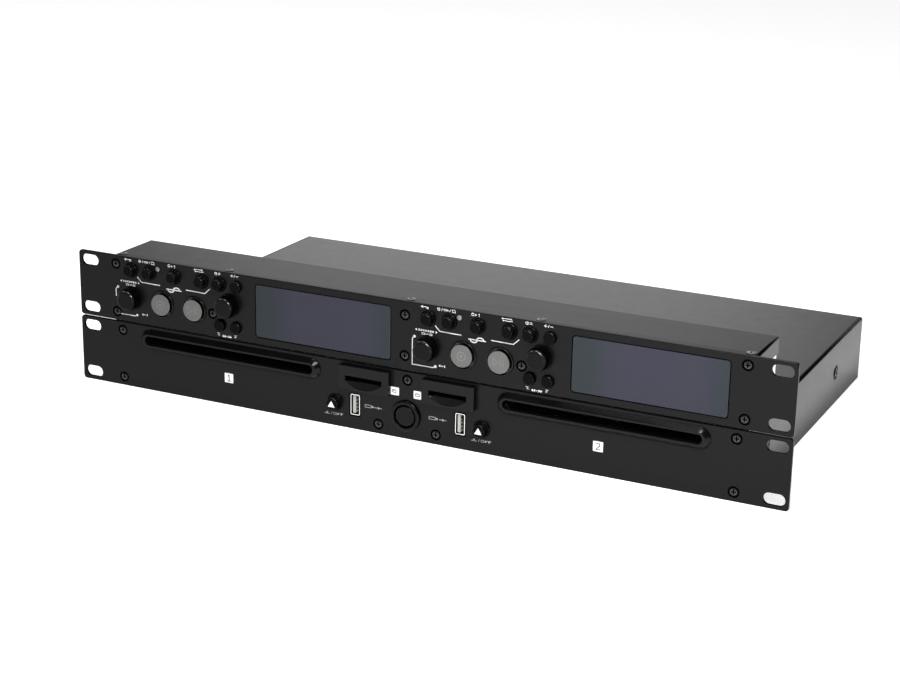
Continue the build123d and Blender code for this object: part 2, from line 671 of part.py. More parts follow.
# Eject buttons: skirt, domed cap, stem and a retaining flange.
for n, bx in ((1, -EJX), (2, EJX)):
    with BuildPart() as eject:
        with BuildSketch(front(YF + 0.6)):
            with Locations((bx, EJZ)):
                Circle(4.75)
        extrude(amount=5.4, taper=CAP_T)
        cap = eject.faces().filter_by(Axis.Y).sort_by(Axis.Y)[0]
        fillet(cap.outer_wire().edges(), 0.7)
        with BuildSketch(front(YB + 0.6)):
            with Locations((bx, EJZ)):
                Circle(5.25)
        extrude(amount=PT + 0.6 + 0.8)
        rim = eject.faces().filter_by(Axis.Y).sort_by(Axis.Y)[1]
        fillet(rim.outer_wire().edges(), 0.3)
        with BuildSketch(front(YB + 1.4)):
            with Locations((bx, EJZ)):
                Circle(6.2)
        extrude(amount=1.2)
        with BuildSketch(front(P_BOARD_Y - 5.0)):
            with Locations((bx, EJZ)):
                Circle(1.6)
        extrude(amount=(P_BOARD_Y - 5.0) - (YB + 1.4) + 0.1)
    save(eject, "eject_button_%d" % n)

with BuildPart() as power_button:
    with BuildSketch(front(YB + 2.4)):
        with Locations((PWX, PWZ)):
            Circle(PWB_R)
    extrude(amount=PT + 2.4 + 1.7)
    face = power_button.faces().filter_by(Axis.Y).sort_by(Axis.Y)[0]
    fillet(face.outer_wire().edges(), 0.6)
    with BuildSketch(front(YB + 3.6)):
        with Locations((PWX, PWZ)):
            Circle(8.4)
    extrude(amount=1.2)
    with BuildSketch(front(P_BOARD_Y - 6.0)):
        with Locations((PWX, PWZ)):
            Circle(2.0)
    extrude(amount=(P_BOARD_Y - 6.0) - (YB + 3.6) + 0.1)
save(power_button, "power_button")

# ------------------------------------------------------ control unit casing
with BuildPart() as controller_faceplate:
    with BuildSketch(front(YB)):
        with Locations((0, ZU + PH / 2)):
            RectangleRounded(PW, PH, PR)
    extrude(amount=PT)
    fillet(controller_faceplate.faces().sort_by(Axis.Y)[0].outer_wire().edges(), 0.45)
    with BuildSketch(front(YF)):
        with Locations((0, ZU + PH / 2)):
            with GridLocations(SLOT_DX, SLOT_DZ, 2, 2):
                SlotOverall(SLOT_L, SLOT_R * 2)
        for cx in (-CH, CH):
            with Locations((cx + DIX, DIZ)):
                RectangleRounded(DW + 2 * DG, DH + 2 * DG, 2.4)
            for name, bx, bz, hr, sr, cr, so, ss in BUTTONS:
                with Locations((cx + bx, bz)):
                    Circle(hr)
            for name, bx, bz in BIG:
                with Locations((cx + bx, bz)):
                    Circle(RING_R + 0.05)
            for name, bx, bz in (SEL, PIT):
                with Locations((cx + bx, bz)):
                    Circle(3.8)
    extrude(amount=-PT, mode=Mode.SUBTRACT)
    with BuildSketch(front(YF)):
        with Locations(*[(x, z + DZ) for x, z in C_SCREWS]):
            Circle(3.5)
    extrude(amount=-1.3, mode=Mode.SUBTRACT)
    with BuildSketch(front(YF)):
        with Locations(*[(x, z + DZ) for x, z in C_SCREWS]):
            Circle(1.65)
    extrude(amount=-PT, mode=Mode.SUBTRACT)
save(controller_faceplate, "controller_faceplate")

C_LINKS = [(-40.0, 64.0), (40.0, 64.0)]
with BuildPart() as controller_chassis:
    xi = CBX - T - 0.1
    with BuildSketch(Plane.XY.offset(CBOT)):
        with Locations((0, (YB + CYR) / 2)):
            Rectangle(2 * xi, CYR - YB)
    extrude(amount=T)
    ch = CTOP - T - 0.1 - CBOT
    with BuildSketch(front(YB + T)):
        with Locations((0, CBOT + ch / 2)):
            Rectangle(2 * xi, ch)
    extrude(amount=T)
    with BuildSketch(front(CYR)):
        with Locations((0, CBOT + ch / 2)):
            Rectangle(2 * xi, ch)
    extrude(amount=T)
    # side walls
    with BuildSketch(Plane.XY.offset(CBOT)):
        with Locations((-xi + T / 2, (YB + CYR) / 2), (xi - T / 2, (YB + CYR) / 2)):
            Rectangle(T, CYR - YB)
    extrude(amount=ch)
    # lip under the cover's front edge, takes the cover screws
    with BuildSketch(Plane.XY.offset(CBOT + ch)):
        with Locations((0, YB + 9.0)):
            Rectangle(2 * xi, 18.0)
    extrude(amount=-0.8)
    # front flange windows: the control field and the display of each channel
    with BuildSketch(front(YB + 2 * T)):
        for cx in (-CH, CH):
            with Locations((cx + DIX, DIZ)):
                Rectangle(DW + 2.0, DH + 2.0)
            with Locations((cx + 53.3 - CH, (47.9 + 85.2) / 2)):
                Rectangle(95.4, 85.2 - 47.9)
        with Locations(*[(x, z + DZ) for x, z in C_SCREWS]):
            Circle(1.5)
    extrude(amount=2 * T, mode=Mode.SUBTRACT)
    with BuildSketch(front(CYR)):
        with Locations(*C_LINKS):
            Circle(6.1)
    extrude(amount=T, mode=Mode.SUBTRACT)
    with BuildSketch(Plane.XY.offset(CTOP)):
        with Locations(*[(x, TOP_SCREW_Y) for x in TOP_SCREWS]):
            Circle(1.5)
    extrude(amount=-4.0, mode=Mode.SUBTRACT)
save(controller_chassis, "controller_chassis")

with BuildPart() as controller_cover:
    with BuildSketch(front(CYR)):
        with Locations((0, (CTOP + CLIP) / 2)):
            Rectangle(2 * CBX, CTOP - CLIP)
        with Locations((0, (CTOP - T + CBOT) / 2)):
            Rectangle(2 * (CBX - T), CTOP - T - CBOT, mode=Mode.SUBTRACT)
    extrude(amount=CYR - YB)
    fillet(controller_cover.edges().filter_by(Axis.Y).group_by(Axis.Z)[-1], 1.6)
    with BuildSketch(Plane.XY.offset(CTOP)):
        with Locations(*[(x, TOP_SCREW_Y) for x in TOP_SCREWS]):
            Circle(1.6)
    extrude(amount=-T, mode=Mode.SUBTRACT)
save(controller_cover, "controller_cover")

with BuildPart() as controller_screws:
    for x, z in C_SCREWS:
        add(SCREW.moved(Location((x, YF + 1.3, z + DZ), (90, 0, 0))))
    for x in TOP_SCREWS:
        add(LOW.moved(Location((x, TOP_SCREW_Y, CTOP), (0, 0, 0))))
save(controller_screws, "controller_screws")

# ------------------------------------------------ control unit fixed pieces
with BuildPart() as display_windows:
    with BuildSketch(front(YF + 2.2)):
        with Locations((-CH + DIX, DIZ), (CH + DIX, DIZ)):
            RectangleRounded(DW, DH, 1.8)
    extrude(amount=2.1)
save(display_windows, "display_windows")

with BuildPart() as display_modules:
    with BuildSketch(front(C_BOARD_Y - 0.1)):
        with Locations((-CH + DIX, DIZ), (CH + DIX, DIZ)):
            Rectangle(DW - 1.0, DH + 0.2)
    extrude(amount=C_BOARD_Y - 0.1 - (YF + 2.9))
    # recess around the glass
    with BuildSketch(front(YF + 2.9)):
        with Locations((-CH + DIX, DIZ), (CH + DIX, DIZ)):
            Rectangle(DW - 6.0, DH - 6.0)
    extrude(amount=-1.2, mode=Mode.SUBTRACT)
save(display_modules, "display_modules")

with BuildPart() as control_board:
    with BuildSketch(front(C_BOARD_Y + 1.6)):
        with Locations((0, 66.0)):
            Rectangle(408.0, 37.0)
    extrude(amount=1.6)
    # chips on the back
    with BuildSketch(front(C_BOARD_Y + 3.4)):
        with Locations((-60.0, 66.0), (150.0, 66.0)):
            Rectangle(18.0, 18.0)
        with Locations((20.0, 60.0)):
            Rectangle(10.0, 16.0)
    extrude(amount=1.8)
    # standoffs behind the inner faceplate screws
    with BuildSketch(front(C_BOARD_Y)):
        with Locations((-139.0, 59.2 + DZ), (75.3, 59.2 + DZ)):
            RegularPolygon(2.7, 6)
    extrude(amount=C_BOARD_Y - YB - 0.05)
    with BuildSketch(front(YB)):
        with Locations((-139.0, 59.2 + DZ), (75.3, 59.2 + DZ)):
            Circle(1.5)
    extrude(amount=-9.0, mode=Mode.SUBTRACT)
save(control_board, "control_board")

ENC_F = YF + 5.2      # front face of an encoder body
with BuildPart() as switches_and_encoders:
    for cx in (-CH, CH):
        # switch blocks behind the push buttons
        with BuildSketch(front(C_BOARD_Y - 0.02)):
            for name, bx, bz, hr, sr, cr, so, ss in BUTTONS:
                with Locations((cx + bx, bz)):
                    Rectangle(6.0, 6.0)
            for name, bx, bz in BIG:
                with Locations((cx + bx, bz)):
                    Rectangle(6.0, 6.0)
        extrude(amount=3.5)
        # rotary encoders with a blind shaft bore
        with BuildSketch(front(C_BOARD_Y - 0.02)):
            with Locations((cx + SEL[1], SEL[2]), (cx + PIT[1], PIT[2])):
                Rectangle(12.0, 13.0)
        extrude(amount=C_BOARD_Y - 0.02 - ENC_F)
        with BuildSketch(front(ENC_F)):
            with Locations((cx + SEL[1], SEL[2]), (cx + PIT[1], PIT[2])):
                Circle(3.5)
        extrude(amount=4.6)
        with BuildSketch(front(ENC_F - 4.6)):
            with Locations((cx + SEL[1], SEL[2]), (cx + PIT[1], PIT[2])):
                Circle(2.05)
        extrude(amount=-13.0, mode=Mode.SUBTRACT)
save(switches_and_encoders, "switches_and_encoders")

with BuildPart() as cue_play_rings:
    with BuildSketch(front(YF + PT)):
        for cx in (-CH, CH):
            for name, bx, bz in BIG:
                with Locations((cx + bx, bz)):
                    Circle(RING_R)
                    Circle(RING_IN, mode=Mode.SUBTRACT)
    extrude(amount=PT + RING_P)
    rims = cue_play_rings.faces().filter_by(Axis.Y).sort_by(Axis.Y)[0:4]
    fillet([e for f in rims for e in f.edges()], 0.45)
save(cue_play_rings, "cue_play_rings")

with BuildPart() as link_sockets:
    for x, z in C_LINKS:
        with BuildSketch(front(CYR - 11.0)):
            with Locations((x, z)):
                Circle(5.9)
        extrude(amount=-11.0 - 0.8)
        with BuildSketch(front(CYR + 0.8)):
            with Locations((x, z)):
                Circle(4.4)
                Circle(3.9, mode=Mode.SUBTRACT)
                with PolarLocations(2.3, 7):
                    Circle(0.45)
                Circle(0.7)
        extrude(amount=6.0, mode=Mode.SUBTRACT)
save(link_sockets, "link_sockets")

# ----------------------------------------------- control unit moving pieces
STEM_END = C_BOARD_Y - 4.6    # leaves the push travel in front of a switch
for n, cx in ((1, -CH), (2, CH)):
    for name, bx, bz, hr, sr, cr, so, ss in BUTTONS:
        with BuildPart() as button:
            if so > ss:
                with BuildSketch(front(YF)):
                    with Locations((cx + bx, bz)):
                        Circle(cr)
                extrude(amount=so, taper=CAP_T)
                cap = button.faces().filter_by(Axis.Y).sort_by(Axis.Y)[0]
                fillet(cap.outer_wire().edges(), 0.7)
            with BuildSketch(front(YB + 0.6)):
                with Locations((cx + bx, bz)):
                    Circle(sr)
            extrude(amount=PT + 0.6 + ss)
            if so > ss:
                rim = button.faces().filter_by(Axis.Y).sort_by(Axis.Y)[1]
                fillet(rim.outer_wire().edges(), 0.3)
            else:
                rim = button.faces().filter_by(Axis.Y).sort_by(Axis.Y)[0]
                fillet(rim.outer_wire().edges(), 0.6)
            # retaining bar behind the faceplate, and the stem
            with BuildSketch(front(YB + 1.4)):
                with Locations((cx + bx, bz)):
                    RectangleRounded(2 * hr + 1.2, 6.4, 1.0)
            extrude(amount=1.2)
            with BuildSketch(front(STEM_END)):
                with Locations((cx + bx, bz)):
                    Circle(1.5)
            extrude(amount=STEM_END - (YB + 1.4) + 0.1)
        save(button, "%s_%d" % (name, n))

    for name, bx, bz in BIG:
        with BuildPart() as button:
            with BuildSketch(front(YB + 0.6)):
                with Locations((cx + bx, bz)):
                    Circle(BIG_R)
            extrude(amount=PT + 0.6 + BIG_P)
            rim = button.faces().filter_by(Axis.Y).sort_by(Axis.Y)[0]
            fillet(rim.outer_wire().edges(), 0.45)
            with BuildSketch(front(YB + 1.6)):
                with Locations((cx + bx, bz)):
                    Circle(RING_IN + 0.6)
            extrude(amount=1.2)
            with BuildSketch(front(STEM_END)):
                with Locations((cx + bx, bz)):
                    Circle(1.5)
            extrude(amount=STEM_END - (YB + 1.6) + 0.1)
        save(button, "%s_%d" % (name, n))

    # select shaft: slides in the encoder, carries the knob
    name, bx, bz = SEL
    with BuildPart() as shaft:
        with BuildSketch(front(ENC_F + 5.0)):
            with Locations((cx + bx, bz)):
                Circle(2.0)
        extrude(amount=ENC_F + 5.0 - (YF - KN_G - 5.0))
    save(shaft, "select_shaft_%d" % n)

    for (name, bx, bz), own_shaft in ((SEL, False), (PIT, True)):
        with BuildPart() as knob:
            with BuildSketch(front(YF - KN_G)):
                with Locations((cx + bx, bz)):
                    Circle(KN_RB)
            extrude(amount=1.2)
            with BuildSketch(front(YF - KN_G - 1.2)):
                with Locations((cx + bx, bz)):
                    Circle(KN_RB - 0.45)
            extrude(amount=KN_H - KN_G - 1.2, taper=KN_T)
            tip = knob.faces().filter_by(Axis.Y).sort_by(Axis.Y)[0]
            fillet(tip.outer_wire().edges(), KN_F)
            # shallow grip flutes
            with BuildSketch(front(YF - KN_G - 2.2)):
                with Locations((cx + bx, bz)):
                    with PolarLocations(KN_RB + 0.95, 14):
                        Circle(1.55)
            extrude(amount=KN_H, mode=Mode.SUBTRACT)
            if own_shaft:
                with BuildSketch(front(ENC_F + 5.0)):
                    with Locations((cx + bx, bz)):
                        Circle(2.0)
                extrude(amount=ENC_F + 5.0 - (YF - KN_G) + 0.1)
            else:
                with BuildSketch(front(YF - KN_G)):
                    with Locations((cx + bx, bz)):
                        Circle(2.05)
                extrude(amount=5.2, mode=Mode.SUBTRACT)
        save(knob, "%s_knob_%d" % (name, n))
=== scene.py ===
import bpy
import bmesh
import math
from mathutils import Matrix, Vector


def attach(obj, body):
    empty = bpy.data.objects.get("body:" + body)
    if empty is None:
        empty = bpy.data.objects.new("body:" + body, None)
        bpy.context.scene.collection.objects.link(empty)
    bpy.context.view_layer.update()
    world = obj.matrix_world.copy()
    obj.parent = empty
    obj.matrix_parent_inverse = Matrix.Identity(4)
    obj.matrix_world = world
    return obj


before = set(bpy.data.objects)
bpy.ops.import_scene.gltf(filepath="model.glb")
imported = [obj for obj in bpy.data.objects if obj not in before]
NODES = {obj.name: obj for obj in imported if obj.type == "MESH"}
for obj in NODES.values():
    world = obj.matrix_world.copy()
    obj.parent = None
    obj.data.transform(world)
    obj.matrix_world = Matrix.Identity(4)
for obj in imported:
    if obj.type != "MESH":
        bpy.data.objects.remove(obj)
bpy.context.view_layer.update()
SC = bpy.context.scene

MM = 0.001
YF = -125.0            # front face of both faceplates
DZ = 0.5               # panel heights are taken from a datum 0.5 above the base
CH = 107.1
CHANNELS = ((1, -CH), (2, CH))


# ------------------------------------------------------------------ materials
def _link(nt, a, b):
    nt.links.new(a, b)


def material(name, base, rough=0.4, metallic=0.0, spec=0.5, ior=1.45, coat=0.0, coat_rough=0.1,
             var=0.12, var_scale=40.0, grain=900.0, grain_bump=0.06, grain_dist=0.00006,
             rough_var=0.06, rough_scale=120.0, speck=0.0, speck_scale=1500.0, tint=None,
             stretch=(1, 1, 1), emission=None, emission_strength=0.0, edge=0.0):
    # A procedural finish: slow colour drift, fine grain in colour and bump, roughness drift.
    m = bpy.data.materials.new(name)
    m.use_nodes = True
    nt = m.node_tree
    nt.nodes.clear()
    out = nt.nodes.new("ShaderNodeOutputMaterial")
    b = nt.nodes.new("ShaderNodeBsdfPrincipled")
    _link(nt, b.outputs["BSDF"], out.inputs["Surface"])
    b.inputs["Metallic"].default_value = metallic
    b.inputs["IOR"].default_value = ior
    b.inputs["Specular IOR Level"].default_value = spec
    b.inputs["Coat Weight"].default_value = coat
    b.inputs["Coat Roughness"].default_value = coat_rough
    if emission is not None:
        b.inputs["Emission Color"].default_value = (*emission, 1)
        b.inputs["Emission Strength"].default_value = emission_strength
    tc = nt.nodes.new("ShaderNodeTexCoord")
    mp = nt.nodes.new("ShaderNodeMapping")
    mp.inputs["Scale"].default_value = stretch
    _link(nt, tc.outputs["Object"], mp.inputs["Vector"])
    slow = nt.nodes.new("ShaderNodeTexNoise")
    slow.inputs["Scale"].default_value = var_scale
    slow.inputs["Detail"].default_value = 4
    _link(nt, mp.outputs["Vector"], slow.inputs["Vector"])
    fine = nt.nodes.new("ShaderNodeTexNoise")
    fine.inputs["Scale"].default_value = grain
    fine.inputs["Detail"].default_value = 3
    fine.inputs["Roughness"].default_value = 0.6
    _link(nt, mp.outputs["Vector"], fine.inputs["Vector"])
    lo = tuple(max(0.0, c * (1 - var)) for c in base)
    hi = tuple(min(1.0, c * (1 + var)) for c in (tint or base))
    ramp = nt.nodes.new("ShaderNodeMix")
    ramp.data_type = "RGBA"
    ramp.inputs["A"].default_value = (*lo, 1)
    ramp.inputs["B"].default_value = (*hi, 1)
    mixf = nt.nodes.new("ShaderNodeMath")
    mixf.operation = "MULTIPLY_ADD"
    _link(nt, fine.outputs["Fac"], mixf.inputs[0])
    mixf.inputs[1].default_value = 0.5
    half = nt.nodes.new("ShaderNodeMath")
    half.operation = "MULTIPLY"
    half.inputs[1].default_value = 0.5
    _link(nt, slow.outputs["Fac"], half.inputs[0])
    _link(nt, half.outputs[0], mixf.inputs[2])
    _link(nt, mixf.outputs[0], ramp.inputs["Factor"])
    colour = ramp.outputs["Result"]
    if speck > 0:
        vor = nt.nodes.new("ShaderNodeTexVoronoi")
        vor.inputs["Scale"].default_value = speck_scale
        _link(nt, mp.outputs["Vector"], vor.inputs["Vector"])
        cut = nt.nodes.new("ShaderNodeMapRange")
        cut.inputs["From Min"].default_value = 0.0
        cut.inputs["From Max"].default_value = 0.22
        cut.inputs["To Min"].default_value = speck
        cut.inputs["To Max"].default_value = 0.0
        _link(nt, vor.outputs["Distance"], cut.inputs["Value"])
        add = nt.nodes.new("ShaderNodeMix")
        add.data_type = "RGBA"
        add.inputs["B"].default_value = (0.5, 0.5, 0.5, 1)
        _link(nt, cut.outputs["Result"], add.inputs["Factor"])
        _link(nt, colour, add.inputs["A"])
        colour = add.outputs["Result"]
    _link(nt, colour, b.inputs["Base Color"])
    rn = nt.nodes.new("ShaderNodeTexNoise")
    rn.inputs["Scale"].default_value = rough_scale
    rn.inputs["Detail"].default_value = 3
    _link(nt, mp.outputs["Vector"], rn.inputs["Vector"])
    rr = nt.nodes.new("ShaderNodeMapRange")
    rr.inputs["To Min"].default_value = max(0.02, rough - rough_var)
    rr.inputs["To Max"].default_value = min(1.0, rough + rough_var)
    _link(nt, rn.outputs["Fac"], rr.inputs["Value"])
    _link(nt, rr.outputs["Result"], b.inputs["Roughness"])
    if grain_bump > 0:
        bump = nt.nodes.new("ShaderNodeBump")
        bump.inputs["Strength"].default_value = grain_bump
        bump.inputs["Distance"].default_value = grain_dist
        _link(nt, fine.outputs["Fac"], bump.inputs["Height"])
        _link(nt, bump.outputs["Normal"], b.inputs["Normal"])
    return m


M = {}
M["faceplate"] = material("faceplate_powder", (0.0032, 0.0032, 0.0034), rough=0.30, spec=0.125, var=0.25, var_scale=25,
                          grain=2600, grain_bump=0.35, grain_dist=0.00004, rough_var=0.05, speck=0.003, speck_scale=900)
M["cover"] = material("cover_powder", (0.006, 0.006, 0.006), rough=0.18, spec=0.51, var=0.2, var_scale=18,
                      grain=2200, grain_bump=0.4, grain_dist=0.00005, rough_var=0.06, speck=0.004, speck_scale=800)
M["cover_low"] = material("cover_powder_low", (0.005, 0.005, 0.005), rough=0.18, spec=0.15, var=0.2, var_scale=18,
                          grain=2200, grain_bump=0.4, grain_dist=0.00005, rough_var=0.05, speck=0.004, speck_scale=800)
M["chassis"] = material("chassis_black_plate", (0.02, 0.02, 0.021), rough=0.38, spec=0.5, var=0.2, var_scale=20,
                        grain=2000, grain_bump=0.35, grain_dist=0.00005)
M["zinc"] = material("zinc_sheet", (0.42, 0.43, 0.44), rough=0.34, metallic=1.0, var=0.18, var_scale=60,
                     grain=500, grain_bump=0.12, rough_var=0.1)
M["zinc_bright"] = material("zinc_bright_sheet", (0.67, 0.68, 0.69), rough=0.30, metallic=1.0, var=0.12, var_scale=60,
                            grain=500, grain_bump=0.12, rough_var=0.08)
M["bezel"] = material("bezel_satin", (0.002, 0.002, 0.0022), rough=0.20, spec=0.15, var=0.2, var_scale=60,
                      grain=3000, grain_bump=0.2, grain_dist=0.00003, rough_var=0.04)
M["card"] = material("card_block_satin", (0.002, 0.002, 0.0022), rough=0.20, spec=0.15, var=0.2, var_scale=60,
                     grain=3000, grain_bump=0.2, grain_dist=0.00003, rough_var=0.04)
M["shell"] = material("nickel_shell", (0.66, 0.65, 0.63), rough=0.16, metallic=1.0, var=0.12, var_scale=300,
                      grain=1500, grain_bump=0.08, rough_var=0.05, rough_scale=500, stretch=(1, 0.2, 1))
M["tongue"] = material("tongue_plastic", (0.31, 0.305, 0.29), rough=0.38, var=0.06, var_scale=300, grain=2500, grain_bump=0.1)
M["screw"] = material("screw_black_oxide", (0.02, 0.02, 0.0205), rough=0.26, spec=0.6, metallic=0.4, var=0.3, var_scale=700,
                      grain=3000, grain_bump=0.3, rough_var=0.08, rough_scale=900)
M["jack"] = material("jack_nickel", (0.55, 0.53, 0.48), rough=0.22, metallic=1.0, var=0.15, var_scale=300, grain=1200, grain_bump=0.1)
M["board"] = material("board_mask", (0.015, 0.11, 0.05), rough=0.34, var=0.3, var_scale=120, grain=900, grain_bump=0.15, speck=0.15, speck_scale=260)
M["window"] = material("window_tint", (0.023, 0.024, 0.035), rough=0.09, spec=0.125, var=0.06, var_scale=14,
                       tint=(0.0255, 0.024, 0.038), grain=500, grain_bump=0.0, rough_var=0.02, rough_scale=30)
def window_tint():
    m = M["window"]
    nt = m.node_tree
    b = next(n for n in nt.nodes if n.type == "BSDF_PRINCIPLED")
    src = b.inputs["Base Color"].links[0].from_socket
    tc = next(n for n in nt.nodes if n.type == "TEX_COORD")
    sep = nt.nodes.new("ShaderNodeSeparateXYZ")
    _link(nt, tc.outputs["Object"], sep.inputs[0])
    # horizontal distance from the nearer display centre
    parts = []
    for centre in (-0.0592, 0.155):
        sub = nt.nodes.new("ShaderNodeMath")
        sub.operation = "SUBTRACT"
        sub.inputs[1].default_value = centre + 0.004
        _link(nt, sep.outputs["X"], sub.inputs[0])
        ab = nt.nodes.new("ShaderNodeMath")
        ab.operation = "ABSOLUTE"
        _link(nt, sub.outputs[0], ab.inputs[0])
        parts.append(ab)
    mn = nt.nodes.new("ShaderNodeMath")
    mn.operation = "MINIMUM"
    _link(nt, parts[0].outputs[0], mn.inputs[0])
    _link(nt, parts[1].outputs[0], mn.inputs[1])
    mr = nt.nodes.new("ShaderNodeMapRange")
    mr.interpolation_type = "SMOOTHSTEP"
    mr.inputs["From Min"].default_value = 0.022
    mr.inputs["From Max"].default_value = 0.046
    _link(nt, mn.outputs[0], mr.inputs["Value"])
    mix = nt.nodes.new("ShaderNodeMix")
    mix.data_type = "RGBA"
    mix.inputs["B"].default_value = (0.017, 0.022, 0.0255, 1)
    _link(nt, mr.outputs["Result"], mix.inputs["Factor"])
    _link(nt, src, mix.inputs["A"])
    _link(nt, mix.outputs["Result"], b.inputs["Base Color"])


window_tint()
M["lcd"] = material("lcd_dark", (0.02, 0.022, 0.024), rough=0.4, var=0.1, grain_bump=0.05)
M["switch"] = material("switch_plastic", (0.05, 0.05, 0.052), rough=0.5, var=0.2)
M["ring"] = material("ring_smoked", (0.003, 0.003, 0.003), rough=0.16, spec=0.2, var=0.1, var_scale=200, grain=2500, grain_bump=0.15)
M["silver"] = material("button_satin_silver", (0.084, 0.086, 0.081), rough=0.34, metallic=0.12, spec=0.32, var=0.10, var_scale=160,
                       grain=2600, grain_bump=0.35, grain_dist=0.00004, rough_var=0.06, coat=0.15, coat_rough=0.25)
M["button"] = material("button_satin_black", (0.0022, 0.0022, 0.0024), rough=0.20, spec=0.26, var=0.2, var_scale=150,
                       grain=2600, grain_bump=0.3, grain_dist=0.00004, rough_var=0.05)
M["knob"] = material("knob_satin_black", (0.0016, 0.0016, 0.0018), rough=0.18, spec=0.095, var=0.2, var_scale=150,
                     grain=2400, grain_bump=0.3, grain_dist=0.00004, rough_var=0.05)
M["power"] = material("power_button_satin", (0.0016, 0.0016, 0.0018), rough=0.22, spec=0.12, var=0.2, var_scale=150,
                      grain=2600, grain_bump=0.3, grain_dist=0.00004, rough_var=0.05)
M["power_ring"] = material("power_ring_satin", (0.0020, 0.0020, 0.0022), rough=0.20, spec=0.12, var=0.2, var_scale=120,
                           grain=2600, grain_bump=0.3, grain_dist=0.00004, rough_var=0.05)
M["shaft"] = material("shaft_steel", (0.5, 0.5, 0.5), rough=0.25, metallic=1.0, var=0.1, stretch=(1, 12, 1))
M["drive"] = material("drive_plastic", (0.035, 0.035, 0.038), rough=0.45, var=0.2)
M["rubber"] = material("roller_rubber", (0.03, 0.03, 0.03), rough=0.75, spec=0.3, var=0.2, grain_bump=0.4)
M["print"] = material("screen_print", (0.58, 0.585, 0.59), rough=0.55, spec=0.3, var=0.08, var_scale=500, grain=4000, grain_bump=0.2)
M["print_dim"] = material("screen_print_dim", (0.25, 0.255, 0.26), rough=0.55, spec=0.3, var=0.1, var_scale=500, grain=4000, grain_bump=0.2)
M["white_print"] = material("screen_print_white", (0.69, 0.69, 0.69), rough=0.5, spec=0.3, var=0.05, var_scale=500, grain=4000, grain_bump=0.15)
M["sign"] = material("button_sign", (0.125, 0.127, 0.122), rough=0.5, spec=0.3, var=0.1, var_scale=500, grain=4000, grain_bump=0.2)
M["ink"] = material("screen_ink_black", (0.006, 0.006, 0.006), rough=0.5, spec=0.3, var=0.1, grain=4000, grain_bump=0.1)
M["gold"] = material("contact_gold", (0.75, 0.55, 0.22), rough=0.22, metallic=1.0, var=0.1, var_scale=800, grain=3000, grain_bump=0.1)
M["led"] = material("led_lens", (0.14, 0.144, 0.14), rough=0.2, spec=0.4, var=0.12, var_scale=900, coat=0.4, coat_rough=0.08, grain=3000, grain_bump=0.05)
M["red"] = material("jack_ring_red", (0.42, 0.015, 0.012), rough=0.35, var=0.1, var_scale=300, grain=2500, grain_bump=0.1)
M["white"] = material("jack_ring_white", (0.62, 0.62, 0.6), rough=0.35, var=0.08, var_scale=300, grain=2500, grain_bump=0.1)
M["orange"] = material("jack_ring_black", (0.02, 0.02, 0.02), rough=0.35, var=0.1, var_scale=300, grain=2500, grain_bump=0.1)
M["pit"] = material("slot_dark", (0.003, 0.003, 0.003), rough=0.7, spec=0.2, var=0.2, grain_bump=0.1)


# ---------------------------------------------------- second finishes and painted light and shade by place
class Places:
    # Masks from object position and surface direction, used to blend in a second finish or painted light and shade.
    def __init__(self, mat):
        self.mat, self.nt = mat, mat.node_tree
        self.b = next(n for n in self.nt.nodes if n.type == "BSDF_PRINCIPLED")
        tc = next(n for n in self.nt.nodes if n.type == "TEX_COORD")
        self.pos = self.nt.nodes.new("ShaderNodeSeparateXYZ")
        _link(self.nt, tc.outputs["Object"], self.pos.inputs[0])
        self.nrm = self.nt.nodes.new("ShaderNodeSeparateXYZ")
        _link(self.nt, tc.outputs["Normal"], self.nrm.inputs[0])

    def math(self, op, a, b=None):
        n = self.nt.nodes.new("ShaderNodeMath")
        n.operation = op
        for k, v in enumerate((a, b)):
            if v is None:
                continue
            if isinstance(v, (int, float)):
                n.inputs[k].default_value = v
            else:
                _link(self.nt, v, n.inputs[k])
        return n.outputs[0]

    def p(self, axis):
        return self.pos.outputs[axis]

    def n(self, axis):
        return self.math("ABSOLUTE", self.nrm.outputs[axis])

    def step(self, value, a, b):
        # 0 at a, 1 at b
        n = self.nt.nodes.new("ShaderNodeMapRange")
        n.interpolation_type = "SMOOTHSTEP"
        lo, hi = min(a, b), max(a, b)
        n.inputs["From Min"].default_value = lo
        n.inputs["From Max"].default_value = hi
        n.inputs["To Min"].default_value = 0.0 if a < b else 1.0
        n.inputs["To Max"].default_value = 1.0 if a < b else 0.0
        _link(self.nt, value, n.inputs["Value"])
        return n.outputs["Result"]

    def every(self, *masks):
        out = masks[0]
        for m in masks[1:]:
            out = self.math("MULTIPLY", out, m)
        return out

    def blend(self, mask, colour, spec=None):
        src = self.b.inputs["Base Color"].links[0].from_socket
        mix = self.nt.nodes.new("ShaderNodeMix")
        mix.data_type = "RGBA"
        mix.inputs["B"].default_value = (*colour, 1)
        _link(self.nt, mask, mix.inputs["Factor"])
        _link(self.nt, src, mix.inputs["A"])
        _link(self.nt, mix.outputs["Result"], self.b.inputs["Base Color"])
        if spec is not None:
            sock = self.b.inputs["Specular IOR Level"]
            mr = self.nt.nodes.new("ShaderNodeMapRange")
            if sock.is_linked:
                _link(self.nt, sock.links[0].from_socket, mr.inputs["To Min"])
            else:
                mr.inputs["To Min"].default_value = sock.default_value
            mr.inputs["To Max"].default_value = spec
            _link(self.nt, mask, mr.inputs["Value"])
            _link(self.nt, mr.outputs["Result"], sock)
